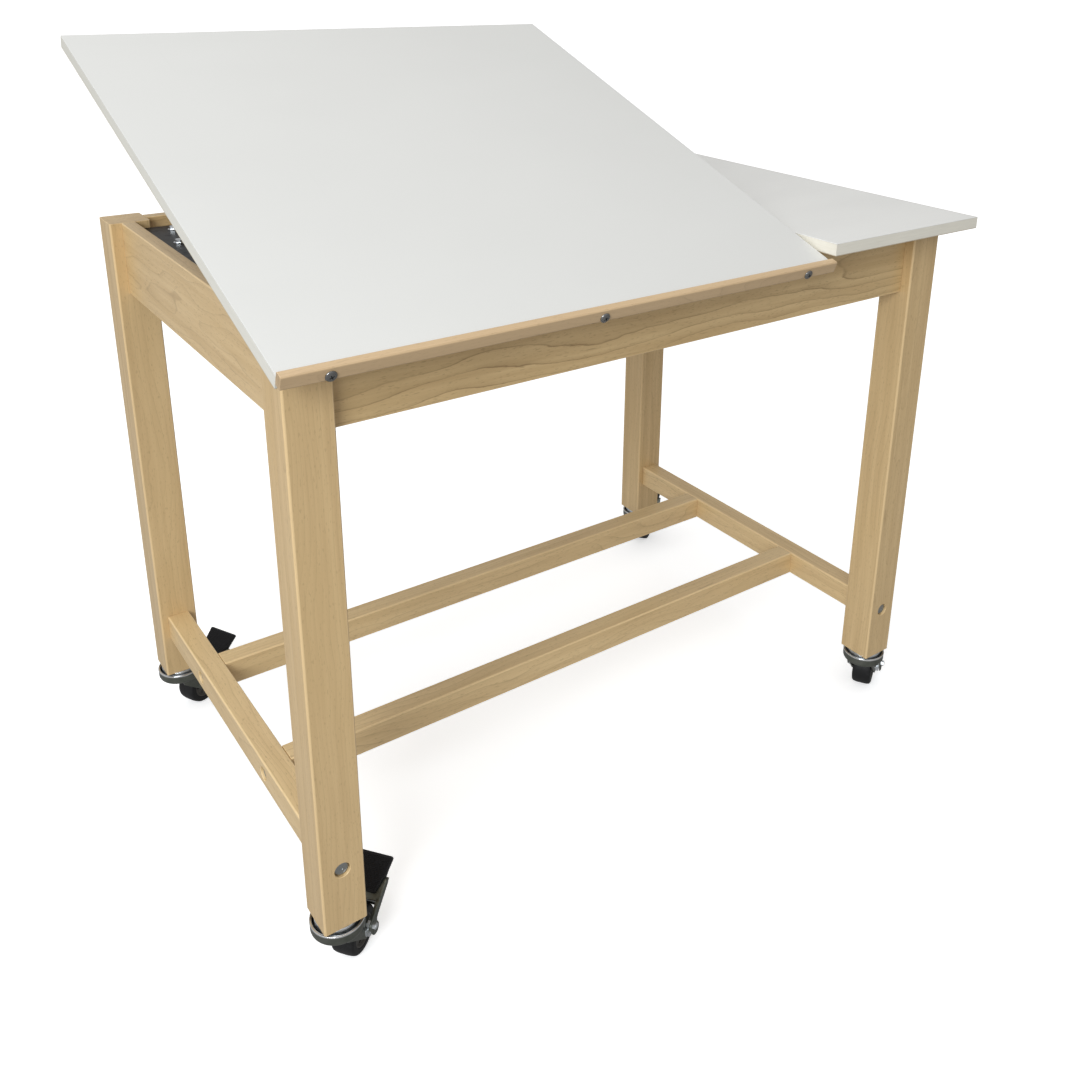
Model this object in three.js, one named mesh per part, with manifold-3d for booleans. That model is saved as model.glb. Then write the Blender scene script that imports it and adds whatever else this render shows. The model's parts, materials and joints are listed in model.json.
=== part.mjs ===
// Mobile drafting table: hard maple frame on four braked swivel casters, a fixed worktop section on
// the right and a hinged drawing board on the left, held at its tilt by two clamped steel quadrants.
// Millimetres, +X to the right along the front edge, +Y to the back, +Z up, floor at z = 0.
import * as THREE from 'three';
import { mergeVertices } from 'three/addons/utils/BufferGeometryUtils.js';
import Module from 'manifold-3d';

const wasm = await Module();
wasm.setup();

// ---- driving dimensions -------------------------------------------------------------------------
const GAP = 0.3; // clearance kept between touching pieces
const OVER = 1; // cutters reach this far past the face they cut
const LEG = 56; // square leg section
const LEG_EASE = 2.5; // chamfer on the long edges of legs and rails
const FRAME_W = 1032; // over the outer faces of the legs
const FRAME_D = 681;
const CASTER_HEIGHT = 92; // floor to the underside of the legs
const LEG_LENGTH = 751.5;
const FRAME_TOP = CASTER_HEIGHT + LEG_LENGTH;

const APRON = { height: 104, thick: 19, inset: 16.4 };
const STRETCHER = { height: 40.4, width: 32.9, top: CASTER_HEIGHT + 107.5, ease: 2, spacing: 255 };
const BOLT = {
  headR: 8.5, headThick: 4, shankR: 4, length: 88, boreR: 4.4, sinkR: 10, sinkDepth: 9,
  sideBore: 50, longBore: 69, // bored this far into the ends of the stretchers
};

const TOP_THICK = 17; // particle board core with laminate both sides
const BOARD = { left: -536.8, right: 222.8, front: -66.3, depth: 762 };
const FIXED = { left: 226.7, right: 530.2, front: -393, depth: 762 };
const LEDGE = { thick: 11, low: 6.5, high: 22.5, ease: 1.5 };
const SCREW = { inset: 51, height: 12.2, headR: 6.5, headThick: 3, shankR: 2, length: 26 };

const TILT = THREE.MathUtils.degToRad(20); // drawing board above level at rest
const TILT_MAX = THREE.MathUtils.degToRad(35);
const RELIEF_ANGLE = 0.03; // radians more than the board's steepest slope
const HINGE = {
  y: -320, left: -450, right: 206, knuckles: 8, knuckleR: 2.4, pinR: 1.1, boreR: 1.4,
  leafThick: 1.3, leafWide: 14.6, boardLeafWide: 22, rebate: 2.9,
};

const RAIL = { width: 110, depth: 62, web: 3, below: 11, length: 568 };
const QUADRANT = {
  thick: 4, radius: 85, band: 12, slotHalf: 4.6, boltAngle: -30, endMargin: 6, flange: 30,
  flangeFrom: 24, flangeTo: 112, offRail: 0.5,
};
const LEVER = {
  studR: 3.8, headR: 8, headThick: 4, collarR: 9, collarLong: 10, length: 55, barWide: 10,
  barThick: 7,
};

// ---- casters: local +X trails behind the swivel axis, z = 0 on the floor -------------------------
// Degrees from +X towards +Y in which each caster trails at rest.
const CASTER_TURN = { front_left: 37, front_right: 31, rear_left: 27, rear_right: 37 };
const WHEEL = {
  radius: 31.75, width: 32, trail: 34, boreR: 4.4, hubR: 9, hubProud: 1, recessR: 21, recess: 3,
  shoulder: 5,
};
const SWIVEL = {
  plateR: 28.5, plateThick: 3.3, ringWide: 7, stemR: 7.5, stemLong: 46, pinR: 6, pinLow: 67, footR: 9,
  footThick: 3,
};
const CROWN = { radius: 34, wall: 3, low: 70, floor: 5, high: 86.5, ease: 4 };
const FORK_PLATE = {
  inner: 17.5, thick: 3, back: -18, neck: -12, neckDrop: 10, front: 27, axleR: 9.5,
};
const AXLE = { radius: 4, hex: 5.8, hexThick: 5, boreR: 4.3 };
// Brake pedal: (u, w) are along and above its slope, from its pivot.
const PEDAL = {
  x: 35, z: 43, slope: 35, bossR: 8, heelR: 8.3, heelU: -1.2, heelW: -13, cheekIn: 26.6, plate: 2.2,
  armLong: 55.5, armLow: -3.5, armHalf: 4.5, webFrom: 26.9, webTo: 79, stripFrom: 4, stripIn: 21.2,
  pinR: 3, nutR: 4.6, nutThick: 4.5, tongueFrom: 26.9, tongueTo: 30.4, tongueLow: -22, tongueHalf: 20,
  shoeR: 3, shoeU: 27.6, shoeW: -23.2,
};
const PAD = { from: 35, step: 57.5, end: 82, halfLow: 17.5, halfStep: 25, halfHigh: 27.6, thick: 5 };

// ---- finishes ------------------------------------------------------------------------------------
const finish = (color, roughness, metalness) => new THREE.MeshStandardMaterial({
  color, roughness, metalness,
});
const MAPLE = finish(0xd2b080, 0.5, 0);
const LAMINATE = finish(0xeceae6, 0.35, 0);
const BLACK_STEEL = finish(0x24262a, 0.5, 0.8);
const ZINC = finish(0xb4bcc4, 0.35, 1);
const GUNMETAL = finish(0x6a6c66, 0.4, 0.9);
const BLACK_RUBBER = finish(0x222224, 0.7, 0);
const BLACK_PLASTIC = finish(0x161618, 0.55, 0);

// ---- solid helpers -------------------------------------------------------------------------------
function solid(geometry) {
  const bare = geometry.clone();
  bare.deleteAttribute('normal');
  bare.deleteAttribute('uv');
  const merged = mergeVertices(bare, 1e-4);
  const triangles = Uint32Array.from(merged.index.array);
  const vertProperties = Float32Array.from(merged.attributes.position.array);
  const whole = new wasm.Manifold(new wasm.Mesh({ numProp: 3, vertProperties, triVerts: triangles }));
  if (whole.volume() > 0) return whole;
  for (let i = 0; i < triangles.length; i += 3) {
    [triangles[i + 1], triangles[i + 2]] = [triangles[i + 2], triangles[i + 1]];
  }
  return new wasm.Manifold(new wasm.Mesh({ numProp: 3, vertProperties, triVerts: triangles }));
}

function toGeometry(manifold) {
  const mesh = manifold.getMesh();
  const geometry = new THREE.BufferGeometry();
  geometry.setAttribute('position', new THREE.BufferAttribute(mesh.vertProperties, 3));
  geometry.setIndex(new THREE.BufferAttribute(mesh.triVerts, 1));
  return geometry;
}

function box(low, high) {
  const geometry = new THREE.BoxGeometry(high[0] - low[0], high[1] - low[1], high[2] - low[2]);
  geometry.translate((low[0] + high[0]) / 2, (low[1] + high[1]) / 2, (low[2] + high[2]) / 2);
  return solid(geometry);
}

// A cylinder on the line from one point, along +X, +Y or +Z.
function rod(axis, from, length, radius, sides = 16) {
  const geometry = new THREE.CylinderGeometry(radius, radius, length, sides);
  geometry.translate(0, length / 2, 0);
  if (axis === 'x') geometry.rotateZ(-Math.PI / 2);
  if (axis === 'z') geometry.rotateX(Math.PI / 2);
  geometry.translate(...from);
  return solid(geometry);
}

// Outline drawn in the plane of (a, b), extruded along the remaining axis from low to high.
function plate(shape, axis, low, high, curveSegments = 12) {
  const geometry = new THREE.ExtrudeGeometry(shape, {
    depth: high - low, bevelEnabled: false, curveSegments,
  });
  geometry.translate(0, 0, low);
  if (axis === 'x') geometry.applyMatrix4(new THREE.Matrix4().set(
    0, 0, 1, 0,
    1, 0, 0, 0,
    0, 1, 0, 0,
    0, 0, 0, 1,
  ));
  if (axis === 'y') geometry.applyMatrix4(new THREE.Matrix4().set(
    1, 0, 0, 0,
    0, 0, 1, 0,
    0, 1, 0, 0,
    0, 0, 0, 1,
  ));
  return solid(geometry);
}

function outline(points) {
  return new THREE.Shape(points.map(([a, b]) => new THREE.Vector2(a, b)));
}

// A rectangle with its corners cut at 45 degrees.
function easedRectangle(a0, b0, a1, b1, ease) {
  return outline([
    [a0 + ease, b0], [a1 - ease, b0], [a1, b0 + ease], [a1, b1 - ease],
    [a1 - ease, b1], [a0 + ease, b1], [a0, b1 - ease], [a0, b0 + ease],
  ]);
}

// A profile of (radius, height) turned about +Z.
function turned(profile, sides = 20) {
  const points = profile.map(([radius, height]) => new THREE.Vector2(radius, height));
  const geometry = new THREE.LatheGeometry(points, sides);
  geometry.rotateX(Math.PI / 2);
  return solid(geometry);
}

function part(name, manifold, material) {
  const mesh = new THREE.Mesh(toGeometry(manifold), material);
  mesh.name = name;
  return mesh;
}

// ---- stations ------------------------------------------------------------------------------------
const legX = (FRAME_W - LEG) / 2;
const legY = (FRAME_D - LEG) / 2;
const corners = [
  { tag: 'front_left', side: 'left', end: 'front', x: -legX, y: -legY },
  { tag: 'front_right', side: 'right', end: 'front', x: legX, y: -legY },
  { tag: 'rear_left', side: 'left', end: 'rear', x: -legX, y: legY },
  { tag: 'rear_right', side: 'right', end: 'rear', x: legX, y: legY },
];
const apronOutY = FRAME_D / 2 - APRON.inset;
const apronInY = apronOutY - APRON.thick;
const apronOutX = FRAME_W / 2 - APRON.inset;
const apronInX = apronOutX - APRON.thick;
const boltZ = STRETCHER.top - STRETCHER.height / 2;
const splitX = (BOARD.right + FIXED.left) / 2;
const splitRail = { left: splitX - APRON.thick / 2, right: splitX + APRON.thick / 2 };
const bayLeft = -apronInX + GAP;
const bayRight = splitRail.left - GAP;

const table = new THREE.Group();

// ---- frame ---------------------------------------------------------------------------------------
// Legs: bored below for the caster stem and across for the stretcher bolt.
function leg(corner) {
  const { x, y } = corner;
  const half = LEG / 2;
  const section = easedRectangle(x - half, y - half, x + half, y + half, LEG_EASE);
  let body = plate(section, 'z', CASTER_HEIGHT, FRAME_TOP);
  body = body.subtract(rod('z', [x, y, CASTER_HEIGHT - OVER], SWIVEL.stemLong + 3 * OVER,
    SWIVEL.stemR + GAP));
  const outward = Math.sign(y);
  const face = y + outward * half;
  const sinkFrom = outward > 0 ? face - BOLT.sinkDepth : face - OVER;
  body = body.subtract(rod('y', [x, sinkFrom, boltZ], BOLT.sinkDepth + OVER, BOLT.sinkR));
  body = body.subtract(rod('y', [x, y - half - OVER, boltZ], LEG + 2 * OVER, BOLT.boreR, 12));
  if (corner.tag === 'front_left') body = body.subtract(boardRelief(x, y, half));
  return body;
}

// Bevel in front of the hinge line, so the board's front edge can swing down past the leg.
function boardRelief(x, y, half) {
  const start = HINGE.y + GAP * 5;
  const front = y - half - OVER;
  const drop = (start - front) * Math.tan(TILT_MAX + RELIEF_ANGLE);
  const wedge = outline([
    [start, FRAME_TOP + OVER], [start, FRAME_TOP], [front, FRAME_TOP - drop],
    [front, FRAME_TOP + OVER],
  ]);
  return plate(wedge, 'x', x - half - OVER, x + half + OVER);
}

for (const corner of corners) table.add(part(`leg_${corner.tag}`, leg(corner), MAPLE));

// Aprons: flush with the leg tops. The front one is let down under the board for the hinge.
const apronLow = FRAME_TOP - APRON.height;
const apronSpanX = legX - LEG / 2 - GAP;
const apronSpanY = legY - LEG / 2 - GAP;
const frontApron = box([-apronSpanX, -apronOutY, apronLow], [apronSpanX, -apronInY, FRAME_TOP])
  .subtract(box([-apronSpanX - OVER, -apronOutY - OVER, FRAME_TOP - HINGE.rebate],
    [splitX, -apronInY + OVER, FRAME_TOP + OVER]));
table.add(part('apron_front', frontApron, MAPLE));
table.add(part('apron_rear',
  box([-apronSpanX, apronInY, apronLow], [apronSpanX, apronOutY, FRAME_TOP]), MAPLE));
table.add(part('apron_left',
  box([-apronOutX, -apronSpanY, apronLow], [-apronInX, apronSpanY, FRAME_TOP]), MAPLE));
table.add(part('apron_right',
  box([apronInX, -apronSpanY, apronLow], [apronOutX, apronSpanY, FRAME_TOP]), MAPLE));
table.add(part('split_rail',
  box([splitRail.left, -apronInY + GAP, apronLow], [splitRail.right, apronInY - GAP, FRAME_TOP]),
  MAPLE));

// Stretchers: one from leg to leg on each side, and two along between them.
const stretcherLow = STRETCHER.top - STRETCHER.height;
const longY = STRETCHER.spacing / 2;

function sideStretcher(sign) {
  const centre = sign * legX;
  const half = STRETCHER.width / 2;
  const section = easedRectangle(centre - half, stretcherLow, centre + half, STRETCHER.top,
    STRETCHER.ease);
  let body = plate(section, 'y', -apronSpanY, apronSpanY);
  for (const end of [-1, 1]) {
    const boreFrom = end > 0 ? apronSpanY - BOLT.sideBore : -apronSpanY - OVER;
    body = body.subtract(rod('y', [centre, boreFrom, boltZ], BOLT.sideBore + OVER, BOLT.boreR, 12));
    const outerFace = centre + sign * half;
    const sinkFrom = sign > 0 ? outerFace - BOLT.sinkDepth : outerFace - OVER;
    body = body.subtract(rod('x', [sinkFrom, end * longY, boltZ], BOLT.sinkDepth + OVER,
      BOLT.sinkR));
    body = body.subtract(rod('x', [centre - half - OVER, end * longY, boltZ],
      STRETCHER.width + 2 * OVER, BOLT.boreR, 12));
  }
  return body;
}

const longEnd = legX - STRETCHER.width / 2 - GAP;
function longStretcher(sign) {
  const half = STRETCHER.width / 2;
  const section = easedRectangle(sign * longY - half, stretcherLow, sign * longY + half,
    STRETCHER.top, STRETCHER.ease);
  let body = plate(section, 'x', -longEnd, longEnd);
  for (const end of [-1, 1]) {
    const boreFrom = end > 0 ? longEnd - BOLT.longBore : -longEnd - OVER;
    body = body.subtract(rod('x', [boreFrom, sign * longY, boltZ], BOLT.longBore + OVER,
      BOLT.boreR, 12));
  }
  return body;
}

table.add(part('side_stretcher_left', sideStretcher(-1), MAPLE));
table.add(part('side_stretcher_right', sideStretcher(1), MAPLE));
table.add(part('long_stretcher_front', longStretcher(-1), MAPLE));
table.add(part('long_stretcher_rear', longStretcher(1), MAPLE));

// Stretcher bolts: a washer head at the foot of each counterbore, its shank in the next piece.
function bolt(axis, headAt, inward) {
  const along = axis === 'x' ? 0 : 1;
  const headFrom = [...headAt];
  const shankFrom = [...headAt];
  headFrom[along] += inward > 0 ? 0 : -BOLT.headThick;
  shankFrom[along] += inward > 0 ? OVER : -BOLT.length;
  return rod(axis, headFrom, BOLT.headThick, BOLT.headR)
    .add(rod(axis, shankFrom, BOLT.length - OVER, BOLT.shankR, 12));
}

for (const corner of corners) {
  const outward = Math.sign(corner.y);
  const seat = corner.y + outward * (LEG / 2 - BOLT.sinkDepth + GAP + BOLT.headThick);
  table.add(part(`leg_bolt_${corner.tag}`, bolt('y', [corner.x, seat, boltZ], -outward), ZINC));
  const across = Math.sign(corner.x);
  const sideFace = corner.x + across * (STRETCHER.width / 2 - BOLT.sinkDepth + GAP + BOLT.headThick);
  const sideBolt = bolt('x', [sideFace, outward * longY, boltZ], -across);
  table.add(part(`stretcher_bolt_${corner.tag}`, sideBolt, ZINC));
}

// ---- fixed section of the top --------------------------------------------------------------------
table.add(part('fixed_top', box(
  [FIXED.left, FIXED.front, FRAME_TOP + GAP],
  [FIXED.right, FIXED.front + FIXED.depth, FRAME_TOP + GAP + TOP_THICK],
), LAMINATE));

// ---- piano hinge: the pin is staked in the frame leaf --------------------------------------------
const knuckleLong = (HINGE.right - HINGE.left) / HINGE.knuckles;

// A leaf has every second knuckle, and is cut clear of the other leaf's knuckles.
function hingeLeaf(low, high, firstKnuckle) {
  let leaf = box(low, high);
  for (let i = 0; i < HINGE.knuckles; i += 1) {
    const from = HINGE.left + i * knuckleLong;
    if (i % 2 === firstKnuckle) {
      const knuckle = rod('x', [from + GAP / 2, 0, 0], knuckleLong - GAP, HINGE.knuckleR, 12);
      leaf = leaf.add(knuckle);
    } else {
      const room = rod('x', [from - GAP / 2, 0, 0], knuckleLong + GAP, HINGE.knuckleR + GAP, 12);
      leaf = leaf.subtract(room);
    }
  }
  return leaf;
}

function frameLeaf() {
  const low = -2 * HINGE.leafThick;
  const pin = rod('x', [HINGE.left, 0, 0], HINGE.right - HINGE.left, HINGE.pinR, 12);
  return hingeLeaf([HINGE.left, 0, low],
    [HINGE.right, HINGE.leafWide, low + HINGE.leafThick], 0).add(pin);
}

function boardLeaf() {
  const bore = rod('x', [HINGE.left - OVER, 0, 0], HINGE.right - HINGE.left + 2 * OVER,
    HINGE.boreR, 12);
  return hingeLeaf([HINGE.left, 0, HINGE.leafThick],
    [HINGE.right, HINGE.boardLeafWide, 2 * HINGE.leafThick], 1).subtract(bore);
}

const hingeLine = new THREE.Group();
hingeLine.position.set(0, HINGE.y, FRAME_TOP);
hingeLine.add(part('hinge_frame_leaf', frameLeaf(), ZINC));
table.add(hingeLine);

// ---- drawing board and all that tilts with it, drawn level about the hinge axis -------------------
const board = new THREE.Group();
board.position.set(0, HINGE.y, FRAME_TOP);
board.rotation.x = TILT;
table.add(board);

const ledgeBack = BOARD.front - GAP;
const ledgeFront = ledgeBack - LEDGE.thick;
const screws = [
  { tag: 'left', x: BOARD.left + SCREW.inset },
  { tag: 'middle', x: (BOARD.left + BOARD.right) / 2 },
  { tag: 'right', x: BOARD.right - SCREW.inset },
];

function drawingBoard() {
  const blank = box([BOARD.left, BOARD.front, GAP],
    [BOARD.right, BOARD.front + BOARD.depth, GAP + TOP_THICK]);
  const hingeRebate = box([HINGE.left - 2, -HINGE.rebate - GAP, 0],
    [HINGE.right + 2, HINGE.boardLeafWide + 1, HINGE.rebate]);
  return drilledForScrews(blank.subtract(hingeRebate));
}

function pencilLedge() {
  const section = easedRectangle(ledgeFront, LEDGE.low, ledgeBack, LEDGE.high, LEDGE.ease);
  return drilledForScrews(plate(section, 'x', BOARD.left, BOARD.right));
}

function drilledForScrews(blank) {
  let drilled = blank;
  for (const { x } of screws) {
    drilled = drilled.subtract(rod('y', [x, ledgeFront - OVER, SCREW.height],
      SCREW.length + 2 * OVER, SCREW.shankR + GAP, 12));
  }
  return drilled;
}

function ledgeScrew(x) {
  const underHead = ledgeFront - GAP;
  const headFrom = underHead - SCREW.headThick;
  return rod('y', [x, headFrom, SCREW.height], SCREW.headThick, SCREW.headR)
    .add(rod('y', [x, headFrom + OVER, SCREW.height], SCREW.length, SCREW.shankR, 12));
}

board.add(part('drawing_board', drawingBoard(), LAMINATE));
board.add(part('pencil_ledge', pencilLedge(), MAPLE));
for (const { tag, x } of screws) board.add(part(`ledge_screw_${tag}`, ledgeScrew(x), ZINC));
board.add(part('hinge_board_leaf', boardLeaf(), ZINC));

// ---- lift rails: black steel channels inside the frame that carry the quadrant clamps -------------
const boltAngle = THREE.MathUtils.degToRad(QUADRANT.boltAngle);
const clampY = HINGE.y + QUADRANT.radius * Math.cos(boltAngle);
const clampZ = FRAME_TOP + QUADRANT.radius * Math.sin(boltAngle);

// Pieces of the left side are drawn in place, and mirrored about the bay's middle for the right.
function mirrored(manifold, isRight) {
  if (!isRight) return manifold;
  return solid(toGeometry(manifold).applyMatrix4(new THREE.Matrix4().set(
    -1, 0, 0, bayLeft + bayRight,
    0, 1, 0, 0,
    0, 0, 1, 0,
    0, 0, 0, 1,
  )));
}

const railTop = FRAME_TOP - RAIL.below;
const railInner = bayLeft + RAIL.width;
function liftRail() {
  const channel = outline([
    [bayLeft, railTop], [bayLeft, railTop - RAIL.depth], [bayLeft + RAIL.web, railTop - RAIL.depth],
    [bayLeft + RAIL.web, railTop - RAIL.web], [railInner - RAIL.web, railTop - RAIL.web],
    [railInner - RAIL.web, railTop - RAIL.depth], [railInner, railTop - RAIL.depth],
    [railInner, railTop],
  ]);
  return plate(channel, 'y', -RAIL.length / 2, RAIL.length / 2)
    .subtract(rod('x', [railInner - RAIL.web - OVER, clampY, clampZ], RAIL.web + 2 * OVER,
      LEVER.studR + GAP));
}

// Slotted steel arc centred on the hinge axis, hung from a flange under the board.
const quadrantFrom = railInner + QUADRANT.offRail;
const quadrantTo = quadrantFrom + QUADRANT.thick;
function quadrant() {
  const margin = THREE.MathUtils.degToRad(QUADRANT.endMargin);
  const first = boltAngle + margin;
  const last = boltAngle - TILT_MAX - margin;
  const outerR = QUADRANT.radius + QUADRANT.band;
  const innerR = QUADRANT.radius - QUADRANT.band;
  const shape = new THREE.Shape();
  shape.moveTo(QUADRANT.flangeFrom, 0);
  shape.lineTo(innerR * Math.cos(last), innerR * Math.sin(last));
  shape.lineTo(outerR * Math.cos(last), outerR * Math.sin(last));
  shape.absarc(0, 0, outerR, last, first, false);
  shape.lineTo(QUADRANT.flangeTo, -QUADRANT.thick);
  shape.lineTo(QUADRANT.flangeTo, 0);
  const slack = QUADRANT.slotHalf / QUADRANT.radius;
  const slot = new THREE.Shape();
  slot.absarc(0, 0, QUADRANT.radius + QUADRANT.slotHalf, boltAngle - TILT_MAX - slack,
    boltAngle + slack, false);
  slot.absarc(0, 0, QUADRANT.radius - QUADRANT.slotHalf, boltAngle + slack,
    boltAngle - TILT_MAX - slack, true);
  const flange = box([quadrantFrom, QUADRANT.flangeFrom, -QUADRANT.thick],
    [quadrantFrom + QUADRANT.flange, QUADRANT.flangeTo, 0]);
  return plate(shape, 'x', quadrantFrom, quadrantTo)
    .subtract(plate(slot, 'x', quadrantFrom - OVER, quadrantTo + OVER))
    .add(flange);
}

// Clamp lever: its stud passes the rail and the quadrant's slot, its bar points to the back.
function clampLever() {
  const collarFrom = quadrantTo + GAP;
  const studFrom = railInner - RAIL.web - GAP - LEVER.headThick;
  const barFrom = collarFrom + OVER;
  const bar = box([barFrom, 0, -LEVER.barWide / 2],
    [barFrom + LEVER.barThick, LEVER.length, LEVER.barWide / 2]);
  return rod('x', [studFrom, 0, 0], LEVER.headThick, LEVER.headR)
    .add(rod('x', [studFrom + OVER, 0, 0], collarFrom - studFrom, LEVER.studR))
    .add(rod('x', [collarFrom, 0, 0], LEVER.collarLong, LEVER.collarR))
    .add(bar)
    .translate([0, clampY, clampZ]);
}

for (const isRight of [false, true]) {
  const side = isRight ? 'right' : 'left';
  table.add(part(`lift_rail_${side}`, mirrored(liftRail(), isRight), BLACK_STEEL));
  board.add(part(`tilt_quadrant_${side}`, mirrored(quadrant(), isRight), BLACK_STEEL));
  table.add(part(`clamp_lever_${side}`, mirrored(clampLever(), isRight), ZINC));
}

// ---- casters -------------------------------------------------------------------------------------
// Stem, top plate with its bearing ring, and the king pin that the fork turns on.
function swivelStem() {
  const plateHigh = CASTER_HEIGHT - GAP;
  const plateLow = plateHigh - SWIVEL.plateThick;
  const ringLow = CROWN.low + CROWN.floor + 1;
  const ringInner = SWIVEL.plateR - SWIVEL.ringWide;
  const footLow = SWIVEL.pinLow - SWIVEL.footThick;
  const stemHigh = plateHigh + SWIVEL.stemLong;
  return turned([
    [0, footLow], [SWIVEL.footR, footLow], [SWIVEL.footR, SWIVEL.pinLow],
    [SWIVEL.pinR, SWIVEL.pinLow], [SWIVEL.pinR, plateLow], [ringInner, plateLow],
    [ringInner, ringLow], [SWIVEL.plateR - 1.5, ringLow], [SWIVEL.plateR, ringLow + 1.5],
    [SWIVEL.plateR, plateHigh], [SWIVEL.stemR, plateHigh], [SWIVEL.stemR, stemHigh - 1],
    [SWIVEL.stemR - 1, stemHigh], [0, stemHigh],
  ]);
}

// Dished crown with a leg each side of the wheel, bored for the axle and the pedal's pivot.
function fork() {
  const bore = SWIVEL.pinR + GAP;
  const floorTop = CROWN.low + CROWN.floor;
  const wallIn = CROWN.radius - CROWN.wall;
  let body = turned([
    [bore, CROWN.low], [CROWN.radius - CROWN.ease, CROWN.low],
    [CROWN.radius, CROWN.low + CROWN.ease], [CROWN.radius, CROWN.high - 0.7],
    [CROWN.radius - 0.7, CROWN.high], [wallIn, CROWN.high], [wallIn, floorTop], [bore, floorTop],
    [bore, CROWN.low],
  ], 24);
  const shape = new THREE.Shape();
  const insideCrown = CROWN.low + CROWN.floor / 2;
  shape.moveTo(FORK_PLATE.back, insideCrown);
  shape.lineTo(FORK_PLATE.neck, CROWN.low - FORK_PLATE.neckDrop);
  shape.absarc(WHEEL.trail, WHEEL.radius, FORK_PLATE.axleR, -Math.PI * 0.8, 0, false);
  shape.absarc(PEDAL.x, PEDAL.z, PEDAL.bossR, 0, Math.PI * 0.2, false);
  shape.lineTo(FORK_PLATE.front, insideCrown);
  for (const side of [-1, 1]) {
    const near = FORK_PLATE.inner;
    const far = FORK_PLATE.inner + FORK_PLATE.thick;
    body = body.add(plate(shape, 'y', side > 0 ? near : -far, side > 0 ? far : -near, 6));
  }
  return body
    .subtract(rod('y', [WHEEL.trail, -CROWN.radius, WHEEL.radius], 2 * CROWN.radius, AXLE.boreR))
    .subtract(rod('y', [PEDAL.x, -CROWN.radius, PEDAL.z], 2 * CROWN.radius, PEDAL.pinR + GAP));
}

function wheel() {
  const half = WHEEL.width / 2;
  const hubEnd = half + WHEEL.hubProud;
  const face = half - WHEEL.recess;
  const side = [
    [WHEEL.hubR, hubEnd], [WHEEL.hubR + 1, face], [WHEEL.recessR, face],
    [WHEEL.recessR + 1.5, half], [WHEEL.radius - WHEEL.shoulder, half],
    [WHEEL.radius - WHEEL.shoulder / 4, half - WHEEL.shoulder / 2],
    [WHEEL.radius, half - 2 * WHEEL.shoulder],
  ];
  const otherSide = side.map(([radius, height]) => [radius, -height]);
  const ring = turned([
    [WHEEL.boreR, -hubEnd], ...otherSide, ...side.reverse(), [WHEEL.boreR, hubEnd],
    [WHEEL.boreR, -hubEnd],
  ], 24);
  return ring.rotate([90, 0, 0]).translate([WHEEL.trail, 0, WHEEL.radius]);
}

function axle() {
  const headFrom = FORK_PLATE.inner + FORK_PLATE.thick + GAP;
  const reach = headFrom + AXLE.hexThick;
  return rod('y', [0, -reach + OVER, 0], 2 * (reach - OVER), AXLE.radius)
    .add(rod('y', [0, -reach, 0], AXLE.hexThick, AXLE.hex, 6))
    .add(rod('y', [0, headFrom, 0], AXLE.hexThick, AXLE.hex, 6))
    .translate([WHEEL.trail, 0, WHEEL.radius]);
}

// One side of the pedal: the cheek, the pivot with a nut each side of it, and a strip of web.
function pedalSide(side) {
  const near = PEDAL.cheekIn;
  const far = near + PEDAL.plate;
  const cheek = new THREE.Shape();
  cheek.moveTo(0, PEDAL.bossR);
  cheek.absarc(0, 0, PEDAL.bossR, Math.PI * 0.5, Math.PI, false);
  cheek.absarc(PEDAL.heelU, PEDAL.heelW, PEDAL.heelR, Math.PI, Math.PI * 2, false);
  cheek.lineTo(PEDAL.bossR, PEDAL.armLow - 1.5);
  cheek.lineTo(PEDAL.armLong - PEDAL.armHalf, PEDAL.armLow);
  cheek.absarc(PEDAL.armLong - PEDAL.armHalf, PEDAL.armLow + PEDAL.armHalf, PEDAL.armHalf,
    -Math.PI * 0.5, Math.PI * 0.5, false);
  const acrossY = (from, to) => (side > 0 ? from : -to);
  const pinFrom = FORK_PLATE.inner;
  const spacerFrom = FORK_PLATE.inner + FORK_PLATE.thick + GAP;
  const strip = box([PEDAL.stripFrom, acrossY(PEDAL.stripIn, far), -PEDAL.plate],
    [PEDAL.webFrom + 1, acrossY(PEDAL.stripIn, far) + far - PEDAL.stripIn, 0]);
  return plate(cheek, 'y', acrossY(near, far), acrossY(near, far) + PEDAL.plate, 6)
    .add(strip)
    .add(rod('y', [0, acrossY(pinFrom, far), 0], far - pinFrom, PEDAL.pinR))
    .add(rod('y', [0, acrossY(spacerFrom, near + 0.5), 0], near + 0.5 - spacerFrom, PEDAL.nutR, 6))
    .add(rod('y', [0, acrossY(far - 0.5, far + PEDAL.nutThick), 0], PEDAL.nutThick + 0.5,
      PEDAL.nutR, 6));
}

// Brake pedal, drawn about its pivot with its arm along +X, then raised to its slope. A web under
// the pad joins the sides, and a tongue from it carries the shoe bar behind the tyre.
function brakePedal() {
  const far = PEDAL.cheekIn + PEDAL.plate;
  const web = box([PEDAL.webFrom, -far, -PEDAL.plate], [PAD.step, far, 0]);
  const toe = box([PAD.step - 1, -PAD.halfStep, -PEDAL.plate], [PEDAL.webTo, PAD.halfStep, 0]);
  const tongue = box([PEDAL.tongueFrom, -PEDAL.tongueHalf, PEDAL.tongueLow],
    [PEDAL.tongueTo, PEDAL.tongueHalf, -PEDAL.plate / 2]);
  const tongueFoot = box([PEDAL.tongueFrom, -PEDAL.tongueHalf, -PEDAL.plate],
    [PEDAL.webFrom + 1, PEDAL.tongueHalf, 0]);
  const shoe = rod('y', [PEDAL.shoeU, -PEDAL.tongueHalf, PEDAL.shoeW], 2 * PEDAL.tongueHalf,
    PEDAL.shoeR, 12);
  return web.add(toe).add(tongue).add(tongueFoot).add(shoe)
    .add(pedalSide(-1))
    .add(pedalSide(1));
}

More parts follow.
